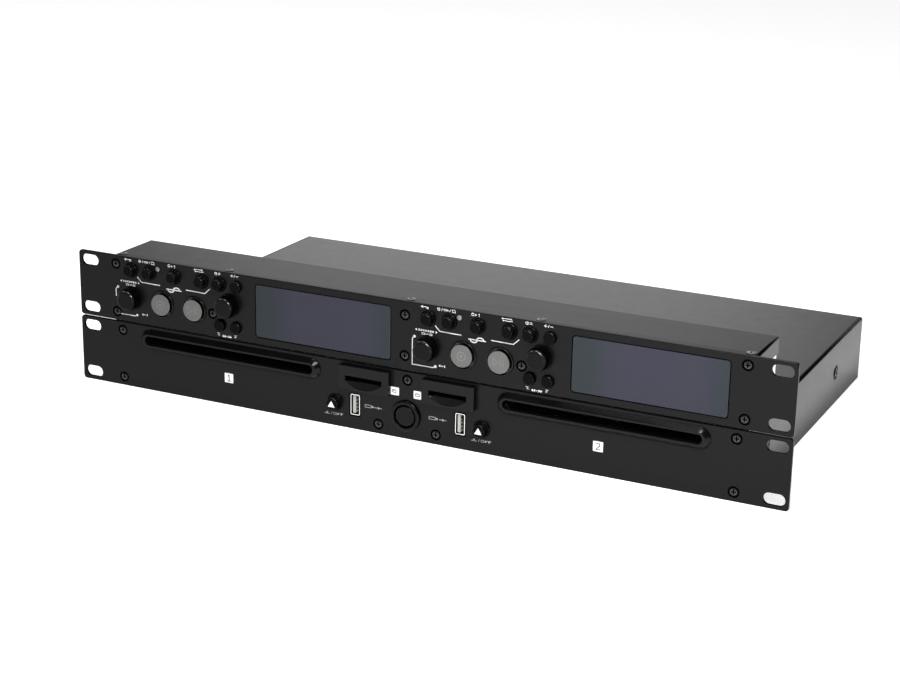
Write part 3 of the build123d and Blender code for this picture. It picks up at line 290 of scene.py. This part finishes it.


# covers: painted shade on the sides, which are darker and duller than the top, and on the bends, where a dark
# reflection is painted into the paint
for key in ("cover", "cover_low"):
    pl = Places(M[key])
    pl.blend(pl.step(pl.n("X"), 0.7, 0.9), (0.0055, 0.0055, 0.0055), 0.10)
    fold_shade = pl.step(pl.math("MINIMUM", pl.n("X"), pl.n("Z")), 0.06, 0.22)
    if key == "cover":
        ax = pl.math("ABSOLUTE", pl.p("X"))
        # a wider band of painted shade along the top of the side, next to the bend
        fold_shade_wide = pl.every(pl.step(ax, 0.2120, 0.2125), pl.step(pl.p("Z"), 0.0411, 0.0416))
        fold_shade = pl.math("MAXIMUM", fold_shade, fold_shade_wide)
        # painted shade in the dimple in the side
        dimple_shade = pl.every(pl.step(ax, 0.21464, 0.21445), pl.step(ax, 0.2128, 0.2130), pl.step(pl.p("Z"), 0.0300, 0.0290))
        fold_shade = pl.math("MAXIMUM", fold_shade, dimple_shade)
        # painted shade on the lower side, darker towards the floor
        floor_shade = pl.every(pl.step(pl.p("Z"), 0.026, 0.0), pl.step(pl.n("X"), 0.7, 0.9))
        pl.blend(floor_shade, (0.003, 0.003, 0.003), 0.02)
    pl.blend(fold_shade, (0.0018, 0.0018, 0.0018), 0.03)

# faceplates: painted shade on the cut edges in the holes, and along the joint of the two units
pl = Places(M["faceplate"])
# painted shade on the hole walls behind the front face, and on the edge faces inside the joint
inner = pl.every(pl.step(pl.p("Y"), YF * MM + 0.00012, YF * MM + 0.0004), pl.step(pl.math("ABSOLUTE", pl.p("X")), 0.2409, 0.2405),
                 pl.step(pl.p("Z"), 0.0003, 0.0006), pl.step(pl.p("Z"), 0.0880, 0.0877))
seam_shade = pl.every(pl.step(pl.n("Z"), 0.25, 0.5), pl.step(pl.p("Z"), 0.0430, 0.0432), pl.step(pl.p("Z"), 0.0453, 0.0451))
pl.blend(pl.math("MAXIMUM", inner, seam_shade), (0.0007, 0.0007, 0.0007), 0.02)

# cue and play buttons: a silver face on a black body
pl = Places(M["silver"])
pl.blend(pl.step(pl.n("Y"), 0.5, 0.3), (0.0015, 0.0015, 0.0015), 0.06)

# push buttons: dull flat faces, glossier shoulders, painted shade on the undersides; knobs: painted shade on the side
# walls and a painted highlight on the upper shoulder round the face
pl = Places(M["button"])
# painted shade on the downward-facing parts of the buttons
underside_shade = pl.step(pl.nrm.outputs["Z"], 0.35, -0.1)
pl.blend(underside_shade, (0.0012, 0.0012, 0.0013), 0.08)
pl.blend(pl.step(pl.n("Y"), 0.93, 0.98), (0.0008, 0.0008, 0.0009), 0.045)
pl = Places(M["knob"])
# painted shade on the knob side walls, a dark reflection painted in
pl.blend(pl.step(pl.n("Y"), 0.26, 0.18), (0.0008, 0.0008, 0.0008), 0.03)
# painted highlight: the upward-facing shoulder is lighter and glossier
pl.blend(pl.every(pl.step(pl.n("Y"), 0.22, 0.4), pl.step(pl.n("Y"), 0.98, 0.94), pl.step(pl.nrm.outputs["Z"], -0.05, 0.4)), (0.008, 0.008, 0.0085), 0.40)

# power button and its ring: painted shade, black on the walls facing the gap between them
pl = Places(M["power_ring"])
pl.blend(pl.step(pl.n("Y"), 0.6, 0.4), (0.0006, 0.0006, 0.0006), 0.02)
pl = Places(M["power"])
pl.blend(pl.step(pl.n("Y"), 0.6, 0.4), (0.0006, 0.0006, 0.0006), 0.02)

# screws: painted shade on the rims and in the crosses, brighter heads; the control unit's cover screws are plated
pl = Places(M["screw"])
front_recess_shade = pl.every(pl.step(pl.p("Y"), YF * MM + 0.00008, YF * MM + 0.0003), pl.step(pl.p("Y"), -0.1170, -0.1180),
                     pl.step(pl.p("Z"), 0.0868, 0.0864))
side_recess_shade = pl.every(pl.step(pl.math("ABSOLUTE", pl.p("X")), 0.21505, 0.2148), pl.step(pl.math("ABSOLUTE", pl.p("X")), 0.2132, 0.2134),
                    pl.step(pl.p("Z"), 0.030, 0.0295), pl.step(pl.p("Y"), -0.1180, -0.1170))
pl.blend(pl.math("MAXIMUM", front_recess_shade, side_recess_shade), (0.0008, 0.0008, 0.0008), 0.02)
pl.blend(pl.step(pl.p("Z"), 0.08765, 0.08780), (0.17, 0.17, 0.17))

# memory sockets: no light reaches the plating inside the shells
pl = Places(M["shell"])
pl.blend(pl.step(pl.p("Y"), YF * MM + 0.0004, YF * MM + 0.0014), (0.05, 0.05, 0.048))

# card blocks: painted light in the finger scoops under the slots, which are painted a little lighter against their
# shade
pl = Places(M["card"])
side = pl.math("ABSOLUTE", pl.p("X"))
scoop_painted_light = pl.every(pl.step(pl.p("Y"), (YF - 3.3) * MM, (YF - 3.1) * MM), pl.step(pl.p("Y"), (YF + 3.5) * MM, (YF + 3.2) * MM),
                 pl.step(pl.p("Z"), 0.0238, 0.0241), pl.step(pl.p("Z"), 0.03215, 0.0319),
                 pl.step(side, 0.0160, 0.0163), pl.step(side, 0.0416, 0.0413))
pl.blend(scoop_painted_light, (0.006, 0.006, 0.006), 0.16)

BY_NODE = {
    "player_faceplate": "faceplate", "controller_faceplate": "faceplate",
    "player_cover": "cover", "controller_cover": "cover_low",
    "player_chassis": "chassis", "controller_chassis": "zinc_bright",
    "disc_slot_bezels": "bezel", "card_slot_bezels": "card", "power_ring": "power_ring", "mains_inlet": "bezel",
    "usb_shells": "shell", "usb_tongues": "tongue", "player_screws": "screw", "controller_screws": "screw",
    "rear_sockets": "jack", "link_sockets": "jack",
    "front_board": "board", "main_board": "board", "power_supply": "board", "control_board": "board",
    "drive_frames": "zinc", "display_windows": "window", "display_modules": "lcd",
    "switches_and_encoders": "switch", "cue_play_rings": "ring", "power_button": "power",
}
for name, obj in NODES.items():
    key = BY_NODE.get(name)
    if key is None:
        if name.startswith(("cue_button", "play_button")):
            key = "silver"
        elif "knob" in name:
            key = "knob"
        elif "shaft" in name:
            key = "shaft"
        elif "button" in name:
            key = "button"
        elif "roller" in name:
            key = "rubber"
        else:
            key = "drive"
    while obj.data.materials:
        obj.data.materials.pop()
    obj.data.materials.append(M[key])


# --------------------------------------------------------------- mesh helpers
def add_object(name, bm, mat, body, smooth=False):
    me = bpy.data.meshes.new(name)
    bmesh.ops.recalc_face_normals(bm, faces=bm.faces)
    bm.to_mesh(me)
    bm.free()
    me.materials.append(mat)
    if smooth:
        for p in me.polygons:
            p.use_smooth = True
    o = bpy.data.objects.new(name, me)
    SC.collection.objects.link(o)
    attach(o, body)
    return o


class Sheet:
    # Flat printed marks as very thin closed prisms on a plane facing -Y.
    def __init__(self, y, thick=0.035, sink=0.01):
        self.bm = bmesh.new()
        self.y0, self.y1 = y + sink, y - thick

    def prism(self, pts, holes=None):
        bm = self.bm
        back = [bm.verts.new((x * MM, self.y0 * MM, (z + DZ) * MM)) for x, z in pts]
        front = [bm.verts.new((x * MM, self.y1 * MM, (z + DZ) * MM)) for x, z in pts]
        n = len(pts)
        bm.faces.new(front)
        bm.faces.new(list(reversed(back)))
        for i in range(n):
            bm.faces.new((front[i], front[(i + 1) % n], back[(i + 1) % n], back[i]))

    def band(self, outer, inner):
        bm = self.bm
        n = len(outer)
        rings = []
        for pts, y in ((outer, self.y1), (inner, self.y1), (inner, self.y0), (outer, self.y0)):
            rings.append([bm.verts.new((x * MM, y * MM, (z + DZ) * MM)) for x, z in pts])
        for k in range(4):
            a, b = rings[k], rings[(k + 1) % 4]
            for i in range(n):
                j = (i + 1) % n
                bm.faces.new((a[i], a[j], b[j], b[i]))

    def stroke(self, pts, w, closed=False):
        # constant width line with mitred corners
        n = len(pts)
        left, right = [], []
        for i in range(n):
            if closed:
                a, b, c = pts[i - 1], pts[i], pts[(i + 1) % n]
            else:
                a, b, c = pts[max(0, i - 1)], pts[i], pts[min(n - 1, i + 1)]
            d1 = Vector((b[0] - a[0], b[1] - a[1]))
            d2 = Vector((c[0] - b[0], c[1] - b[1]))
            if d1.length < 1e-9:
                d1 = d2
            if d2.length < 1e-9:
                d2 = d1
            d1, d2 = d1.normalized(), d2.normalized()
            n1, n2 = Vector((-d1.y, d1.x)), Vector((-d2.y, d2.x))
            m = n1 + n2
            m = m / max(1e-6, m.length)
            s = w / 2 / max(0.45, m.dot(n1))
            left.append((b[0] + m.x * s, b[1] + m.y * s))
            right.append((b[0] - m.x * s, b[1] - m.y * s))
        if closed:
            self.band(left, right)
            return
        bm = self.bm
        rows = []
        for pts2, y in ((left, self.y1), (right, self.y1), (right, self.y0), (left, self.y0)):
            rows.append([bm.verts.new((x * MM, y * MM, (z + DZ) * MM)) for x, z in pts2])
        for k in range(4):
            a, b = rows[k], rows[(k + 1) % 4]
            for i in range(n - 1):
                bm.faces.new((a[i], a[i + 1], b[i + 1], b[i]))
        bm.faces.new([rows[k][0] for k in range(4)])
        bm.faces.new([rows[k][-1] for k in (3, 2, 1, 0)])

    def disc(self, x, z, r, n=28):
        self.prism([(x + r * math.cos(2 * math.pi * i / n), z + r * math.sin(2 * math.pi * i / n)) for i in range(n)])

    def ring(self, x, z, ro, ri, n=36):
        f = lambda r: [(x + r * math.cos(2 * math.pi * i / n), z + r * math.sin(2 * math.pi * i / n)) for i in range(n)]
        self.band(f(ro), f(ri))

    def tri(self, x, z, w, h, turn=0.0):
        # triangle pointing along the turn direction (0 = right, 90 = up)
        a = math.radians(turn)
        ca, sa = math.cos(a), math.sin(a)
        pts = [(w / 2, 0), (-w / 2, h / 2), (-w / 2, -h / 2)]
        self.prism([(x + px * ca - pz * sa, z + px * sa + pz * ca) for px, pz in pts])

    def rrect(self, x, z, w, h, r, n=5):
        pts = []
        for cx, cz, a0 in ((w / 2 - r, h / 2 - r, 0), (-w / 2 + r, h / 2 - r, 90), (-w / 2 + r, -h / 2 + r, 180), (w / 2 - r, -h / 2 + r, 270)):
            for i in range(n + 1):
                a = math.radians(a0 + 90 * i / n)
                pts.append((x + cx + r * math.cos(a), z + cz + r * math.sin(a)))
        return pts

    def plate(self, x, z, w, h, r):
        self.prism(self.rrect(x, z, w, h, r))

    def frame(self, x, z, w, h, r, t):
        self.band(self.rrect(x, z, w, h, r), self.rrect(x, z, w - 2 * t, h - 2 * t, max(0.05, r - t)))

    def done(self, name, mat, body):
        return add_object(name, self.bm, mat, body)


def arc(x, z, r, a0, a1, n=14):
    return [(x + r * math.cos(math.radians(a0 + (a1 - a0) * i / n)), z + r * math.sin(math.radians(a0 + (a1 - a0) * i / n))) for i in range(n + 1)]


def oval(x, z, rx, rz, a0, a1, n=14):
    return [(x + rx * math.cos(math.radians(a0 + (a1 - a0) * i / n)), z + rz * math.sin(math.radians(a0 + (a1 - a0) * i / n))) for i in range(n + 1)]


# ------------------------------------------------------- printed marks, upper
LW = 0.52
for n, cx in CHANNELS:
    X = lambda x: x + cx - CH
    s = Sheet(YF)
    # frames between the controls
    s.stroke([(X(18.4), 75.3), (X(21.5), 72.25), (X(35.8), 72.0)], LW)
    s.stroke([(X(55.4), 71.9), (X(69.8), 71.65), (X(73.4), 75.1)], LW)
    # bracket round the select knob
    if n == 1:
        s.stroke([(X(2.9), 66.6), (X(1.4), 65.2), (X(1.4), 60.3)], 0.6)
        s.stroke([(X(4.6), 48.7), (X(15.9), 48.7), (X(17.2), 49.4)], LW)
        s.disc(X(3.0), 66.6, 0.85)
        s.disc(X(17.4), 49.5, 0.8)
    else:
        s.stroke([(X(4.4), 66.4), (X(3.2), 65.2), (X(3.2), 48.7), (X(17.2), 48.7), (X(18.6), 49.4)], LW)
        s.disc(X(4.6), 66.5, 0.85)
        s.disc(X(18.9), 49.6, 0.85)
    # wave symbol across a bar
    s.stroke([(X(40.5), 70.5), (X(52.0), 70.5)], 0.6)
    s.stroke(oval(X(44.0), 70.4, 2.3, 1.55, 178, 362), 0.68)
    s.stroke(oval(X(48.3), 70.6, 2.3, 1.55, 182, -2), 0.68)
    # small signs above the buttons: return arrow, three sources, one track, loop, clock, plus and minus
    z = 86.05
    s.tri(X(9.4), z, 1.5, 1.9, 180)
    s.stroke([(X(10.0), z), (X(13.6), z), (X(13.6), z - 0.85), (X(12.4), z - 0.85)], 0.4)
    s.ring(X(20.6), z, 0.98, 0.58)
    s.disc(X(20.6), z, 0.25, 12)
    s.stroke([(X(22.4), z - 0.9), (X(23.2), z + 0.9)], 0.3)
    s.frame(X(25.0), z, 2.2, 1.2, 0.2, 0.32)
    s.plate(X(26.6), z, 0.9, 0.75, 0.08)
    s.stroke([(X(27.8), z - 0.9), (X(28.6), z + 0.9)], 0.3)
    s.stroke([(X(29.6), z - 0.8), (X(29.6), z + 0.8), (X(31.0), z + 0.8), (X(31.7), z + 0.2), (X(31.7), z - 0.8)], 0.32, closed=True)
    s.ring(X(43.1), z, 0.98, 0.58)
    s.tri(X(45.3), z, 1.1, 1.4, 0)
    s.stroke([(X(46.6), z + 0.45), (X(47.3), z + 0.85), (X(47.3), z - 0.9)], 0.36)
    s.stroke([(X(62.2), z - 0.2), (X(62.2), z + 0.62), (X(67.4), z + 0.62)], 0.36)
    s.tri(X(68.0), z + 0.62, 1.0, 1.3, 0)
    s.stroke([(X(68.6), z + 0.1), (X(68.6), z - 0.72), (X(63.4), z - 0.72)], 0.36)
    s.tri(X(62.8), z - 0.72, 1.0, 1.3, 180)
    s.ring(X(78.2), z, 1.0, 0.66)
    s.stroke([(X(78.2), z + 0.6), (X(78.2), z), (X(78.75), z - 0.2)], 0.26)
    s.plate(X(80.6), z + 0.45, 1.7, 0.36, 0.1)
    s.plate(X(80.6), z - 0.45, 1.7, 0.36, 0.1)
    s.plate(X(90.0), z, 2.0, 0.4, 0.1)
    s.plate(X(90.0), z, 0.4, 1.8, 0.1)
    s.stroke([(X(91.5), z - 0.9), (X(92.2), z + 0.9)], 0.3)
    s.plate(X(93.8), z, 2.0, 0.4, 0.1)
    # two rows of marks above the select knob
    s.tri(X(5.6), 71.2, 1.2, 1.6, 180)
    for k in range(7):
        s.plate(X(7.7 + 1.55 * k), 71.2, 1.0, 1.15, 0.15)
    s.tri(X(19.4), 71.2, 1.2, 1.6, 0)
    s.frame(X(10.6), 69.2, 2.4, 1.25, 0.2, 0.34)
    s.plate(X(13.2), 69.2, 1.6, 0.45, 0.15)
    s.frame(X(15.6), 69.2, 1.8, 1.25, 0.2, 0.34)
    # push sign right of the bracket
    s.tri(X(21.6), 50.55, 1.2, 1.5, 180)
    s.plate(X(23.3), 50.55, 1.6, 0.42, 0.1)
    s.plate(X(25.1), 50.55, 0.5, 1.5, 0.1)
    # search signs under the two plain buttons
    s.stroke([(X(78.4), 47.0), (X(80.4), 47.0)], 0.42)
    s.stroke([(X(79.4), 47.0), (X(79.4), 45.75), (X(80.4), 45.75)], 0.36)
    s.stroke([(X(91.0), 47.0), (X(93.0), 47.0)], 0.42)
    s.stroke([(X(92.0), 47.0), (X(92.0), 45.75), (X(91.0), 45.75)], 0.36)
    s.tri(X(82.6), 45.5, 1.3, 1.7, 180)
    s.tri(X(83.9), 45.5, 1.3, 1.7, 180)
    s.plate(X(85.6), 45.5, 1.1, 0.45, 0.1)
    s.tri(X(87.3), 45.5, 1.3, 1.7, 0)
    s.tri(X(88.6), 45.5, 1.3, 1.7, 0)
    s.done("controller_print_%d" % n, M["print"], "controller")

# ------------------------------------------------------- printed marks, lower
s = Sheet(YF)
s.plate(-127.7, 17.9, 6.3, 6.3, 0.35)
s.plate(125.5, 17.8, 6.3, 6.3, 0.35)
s.plate(-8.8, 29.4, 6.5, 5.1, 0.35)
s.plate(7.1, 29.3, 5.2, 5.0, 0.35)
s.done("player_print_plates", M["white_print"], "player")
s = Sheet(YF, thick=0.05, sink=-0.03)
s.stroke([(-128.6, 18.9), (-127.6, 19.8), (-127.6, 15.9)], 0.6)
s.stroke([(-128.9, 15.9), (-126.3, 15.9)], 0.5)
s.stroke(arc(125.5, 18.8, 1.15, 160, -30, 12) + [(124.3, 15.9), (126.9, 15.9)], 0.58)
for x in (-8.8, 7.1):
    s.stroke([(x - 1.3, 28.6), (x - 1.3, 30.2), (x + 0.6, 30.2), (x + 1.3, 29.6), (x + 1.3, 28.6)], 0.42, closed=True)
    for k in range(2):
        s.stroke([(x - 0.55 + 0.7 * k, 29.9), (x - 0.55 + 0.7 * k, 29.3)], 0.3)
s.done("player_print_ink", M["ink"], "player")
s = Sheet(YF)
for sx in (-1, 1):
    # memory stick sign and arrow next to each upright socket
    x = -23.5 if sx < 0 else 20.7
    s.frame(x - 3.4, 16.3, 4.6, 1.9, 0.35, 0.32)
    s.plate(x - 0.3, 16.3, 1.3, 1.15, 0.1)
    s.plate(x + 2.2, 16.2, 2.2, 0.42, 0.1)
    s.tri(x + 4.2, 16.2, 1.5, 1.9, 0)
    s.plate(x + 5.6, 16.2, 1.1, 0.42, 0.1)
    # in and out signs below each eject button
    x = -51.4 if sx < 0 else 50.0
    s.plate(x - 4.4, 6.9, 3.6, 0.4, 0.1)
    s.tri(x - 4.4, 7.9, 1.1, 1.9, 90)
    s.stroke([(x - 1.6, 6.6), (x - 0.8, 8.5)], 0.3)
    s.frame(x + 1.2, 7.5, 2.2, 1.5, 0.2, 0.3)
    s.plate(x + 3.3, 7.5, 0.9, 1.3, 0.1)
    s.plate(x + 5.6, 8.1, 2.6, 0.4, 0.1)
    s.tri(x + 5.6, 7.2, 1.0, 1.7, 270)
s.done("player_print_signs", M["print_dim"], "player")

# triangles on the eject buttons
for n, bx in ((1, -50.3), (2, 50.3)):
    s = Sheet(YF - 4.8)
    s.tri(bx, 15.25, 4.2, 4.9, 90)
    s.done("eject_sign_%d" % n, M["print"], "eject_button_%d" % n)

# signs on the large silver buttons
for n, cx in CHANNELS:
    s = Sheet(YF - 2.2, thick=0.02)
    x, z = cx - CH + 36.9, 59.6
    s.ring(x, z, 2.9, 2.3)
    s.disc(x, z, 0.9)
    s.done("cue_sign_%d" % n, M["sign"], "cue_button_%d" % n)
    s = Sheet(YF - 2.2, thick=0.02)
    x = cx - CH + 61.3
    s.stroke([(x - 3.6, z - 2.2), (x - 3.6, z + 2.2), (x + 0.1, z)], 0.45, closed=True)
    s.stroke([(x + 1.5, z - 2.3), (x + 1.5, z + 2.3)], 0.5)
    s.stroke([(x + 3.1, z - 2.3), (x + 3.1, z + 2.3)], 0.5)
    s.done("play_sign_%d" % n, M["sign"], "play_button_%d" % n)


# --------------------------------------------------------- small real pieces
def lathe(profile, centre, name, mat, body, n=40, axis="-Y"):
    # profile: list of (radius, height) in mm, revolved about the axis through centre
    bm = bmesh.new()
    rows = []
    for r, h in profile:
        if r < 1e-6:
            rows.append([h])
            continue
        rows.append([(r * math.cos(2 * math.pi * i / n), r * math.sin(2 * math.pi * i / n), h) for i in range(n)])

    def place(p):
        x, z, h = p
        if axis == "-Y":
            return Vector(((centre[0] + x) * MM, (centre[1] - h) * MM, (centre[2] + z) * MM))
        return Vector(((centre[0] - x) * MM, (centre[1] + h) * MM, (centre[2] + z) * MM))
    vs = []
    for row in rows:
        if len(row) == 1:
            vs.append([bm.verts.new(place((0, 0, row[0])))])
        else:
            vs.append([bm.verts.new(place(p)) for p in row])
    for a, b in zip(vs, vs[1:]):
        for i in range(n):
            j = (i + 1) % n
            if len(a) == 1:
                bm.faces.new((a[0], b[j], b[i]))
            elif len(b) == 1:
                bm.faces.new((a[i], a[j], b[0]))
            else:
                bm.faces.new((a[i], a[j], b[j], b[i]))
    o = add_object(name, bm, mat, body, smooth=True)
    return o


# lamps of both channels: a domed lens in a thin dark collar
for n, cx in CHANNELS:
    c = (cx - CH + 34.3, YF, 82.7 + DZ)
    prof = [(0, 0.75)] + [(1.6 * math.sin(a), 0.15 + 0.6 * math.cos(a)) for a in [math.pi / 2 * k / 7 for k in range(1, 8)]] + [(1.6, -0.02), (0, -0.02)]
    lathe(prof, c, "lamp_lens_%d" % n, M["led"], "controller")
    lathe([(1.63, -0.02), (1.63, 0.22), (1.72, 0.28), (1.87, 0.24), (1.95, 0.1), (1.95, -0.02), (1.63, -0.02)], c, "lamp_collar_%d" % n, M["bezel"], "controller")

# contact strips on the memory socket tongues
for n, ux in ((1, -36.0), (2, 36.0)):
    bm = bmesh.new()
    for k in range(4):
        z = 16.2 + (-3.5 + k * 2.333)
        x0, x1 = (ux + 0.0) * MM, (ux + 0.06) * MM
        y0, y1 = (YF + 1.6) * MM, (YF + 8.6) * MM
        z0, z1 = (z - 0.5) * MM, (z + 0.5) * MM
        v = [bm.verts.new(p) for p in ((x0, y0 + 0.0002, z0), (x0, y1, z0), (x0, y1, z1), (x0, y0 + 0.0002, z1), (x1, y0, z0 + 0.0001), (x1, y1, z0 + 0.0001), (x1, y1, z1 - 0.0001), (x1, y0, z1 - 0.0001))]
        for f in ((0, 1, 2, 3), (7, 6, 5, 4), (0, 4, 5, 1), (1, 5, 6, 2), (2, 6, 7, 3), (3, 7, 4, 0)):
            bm.faces.new([v[i] for i in f])
    add_object("socket_contacts_%d" % n, bm, M["gold"], "player")

# insulating collars of the phono jacks
for k, (x, z, key) in enumerate(((-182.0, 29.0, "white"), (-182.0, 14.0, "red"), (-160.0, 21.5, "orange"), (-122.0, 29.0, "white"), (-122.0, 14.0, "red"), (-100.0, 21.5, "orange"))):
    lathe([(4.17, 1.25), (4.17, 2.2), (4.6, 2.4), (6.3, 2.3), (6.6, 1.9), (6.6, 0.05), (5.0, 0.05), (5.0, 1.25), (4.17, 1.25)],
          (x, 125.0, z), "jack_collar_%d" % (k + 1), M[key], "player", axis="+Y")

# --------------------------------------------------------------- edges
for name, obj in NODES.items():
    if name in ("player_faceplate", "controller_faceplate", "player_cover", "controller_cover", "player_chassis", "controller_chassis",
                "disc_slot_bezels", "card_slot_bezels"):
        w = obj.modifiers.new("weld", "WELD")
        w.merge_threshold = 0.000002
        b = obj.modifiers.new("bevel", "BEVEL")
        b.width = 0.00018 if "bezel" not in name else 0.0001
        b.segments = 2
        b.limit_method = "ANGLE"
        b.angle_limit = math.radians(40)
        b.harden_normals = True

# --------------------------------------------------------------- stage
bm = bmesh.new()
bmesh.ops.create_grid(bm, x_segments=1, y_segments=1, size=7.0)
me = bpy.data.meshes.new("floor")
bm.to_mesh(me)
bm.free()
floor = bpy.data.objects.new("floor", me)
SC.collection.objects.link(floor)
fm = material("floor_pale", (0.84, 0.84, 0.84), rough=0.7, spec=0.1, var=0.004, var_scale=2, grain=20, grain_bump=0.0,
              emission=(1, 1, 1), emission_strength=0.80)
me.materials.append(fm)

# a pale horizon all round, a lit paper area behind the object, a dim ceiling
world = bpy.data.worlds.new("studio")
SC.world = world
world.use_nodes = True
wn = world.node_tree
bg = wn.nodes["Background"]
tc = wn.nodes.new("ShaderNodeTexCoord")
sep = wn.nodes.new("ShaderNodeSeparateXYZ")
wn.links.new(tc.outputs["Generated"], sep.inputs[0])
hor = wn.nodes.new("ShaderNodeMapRange")
hor.interpolation_type = "SMOOTHSTEP"
hor.inputs["From Min"].default_value = 0.03
hor.inputs["From Max"].default_value = 0.17
hor.inputs["To Min"].default_value = 0.95
hor.inputs["To Max"].default_value = 0.05
wn.links.new(sep.outputs["Z"], hor.inputs["Value"])
flag = wn.nodes.new("ShaderNodeVectorMath")
flag.operation = "DOT_PRODUCT"
faz, fel = math.radians(19), math.radians(16)
flag.inputs[1].default_value = (math.sin(faz) * math.cos(fel), math.cos(faz) * math.cos(fel), math.sin(fel))
wn.links.new(tc.outputs["Generated"], flag.inputs[0])
shade = wn.nodes.new("ShaderNodeMapRange")
shade.interpolation_type = "SMOOTHSTEP"
shade.inputs["From Min"].default_value = math.cos(math.radians(30))
shade.inputs["From Max"].default_value = math.cos(math.radians(17))
shade.inputs["To Min"].default_value = 1.0
shade.inputs["To Max"].default_value = 0.02
wn.links.new(flag.outputs["Value"], shade.inputs["Value"])
dim = wn.nodes.new("ShaderNodeMath")
dim.operation = "MULTIPLY"
wn.links.new(hor.outputs["Result"], dim.inputs[0])
wn.links.new(shade.outputs["Result"], dim.inputs[1])
dot = wn.nodes.new("ShaderNodeVectorMath")
dot.operation = "DOT_PRODUCT"
az, el = math.radians(-25), math.radians(17)
dot.inputs[1].default_value = (math.sin(az) * math.cos(el), math.cos(az) * math.cos(el), math.sin(el))
wn.links.new(tc.outputs["Generated"], dot.inputs[0])
blob = wn.nodes.new("ShaderNodeMapRange")
blob.interpolation_type = "SMOOTHSTEP"
blob.inputs["From Min"].default_value = math.cos(math.radians(16))
blob.inputs["From Max"].default_value = math.cos(math.radians(3))
blob.inputs["To Min"].default_value = 0.0
blob.inputs["To Max"].default_value = 1.0
wn.links.new(dot.outputs["Value"], blob.inputs["Value"])
mx = wn.nodes.new("ShaderNodeMath")
mx.operation = "MAXIMUM"
wn.links.new(dim.outputs[0], mx.inputs[0])
wn.links.new(blob.outputs["Result"], mx.inputs[1])
wn.links.new(mx.outputs[0], bg.inputs["Strength"])
bg.inputs["Color"].default_value = (1, 1, 1, 1)


def area(name, loc, target, size, size_y, power):
    l = bpy.data.lights.new(name, "AREA")
    l.shape = "RECTANGLE"
    l.size, l.size_y = size, size_y
    l.energy = power
    o = bpy.data.objects.new(name, l)
    o.location = loc
    o.rotation_mode = "QUATERNION"
    o.rotation_quaternion = (Vector(target) - Vector(loc)).to_track_quat("-Z", "Y")
    SC.collection.objects.link(o)
    return o


area("front_box", (0.9, -1.5, 1.1), (0.05, 0, 0), 0.6, 0.6, 5)
area("near_box", (0.20, -0.42, 0.46), (0.18, -0.30, 0.0), 0.2, 0.2, 4.5)
area("top_box", (-0.22, -0.22, 1.5), (-0.05, -0.15, 0), 0.45, 0.45, 8.5)
area("left_box", (-1.35, 0.1, 1.2), (0, 0, 0), 0.5, 0.5, 6)

# --------------------------------------------------------------- camera
cam = bpy.data.cameras.new("camera")
cam.sensor_width = 36.0
cam.lens = 1941.3 / 900 * 36.0
cam.clip_start, cam.clip_end = 0.05, 50
co = bpy.data.objects.new("camera", cam)
yaw, pitch, roll = math.radians(-25.86), math.radians(17.82), math.radians(0.98)
fw = Vector((math.sin(yaw) * math.cos(pitch), math.cos(yaw) * math.cos(pitch), -math.sin(pitch)))
right = Vector((math.cos(yaw), -math.sin(yaw), 0))
up = right.cross(fw)
r2 = right * math.cos(roll) + up * math.sin(roll)
u2 = -right * math.sin(roll) + up * math.cos(roll)
m = Matrix((r2, u2, -fw)).transposed().to_4x4()
m.translation = Vector((0.5089, -0.9914 + YF * MM, 0.4236 + DZ * MM))
co.matrix_world = m
SC.collection.objects.link(co)
SC.camera = co

SC.view_settings.view_transform = "Standard"
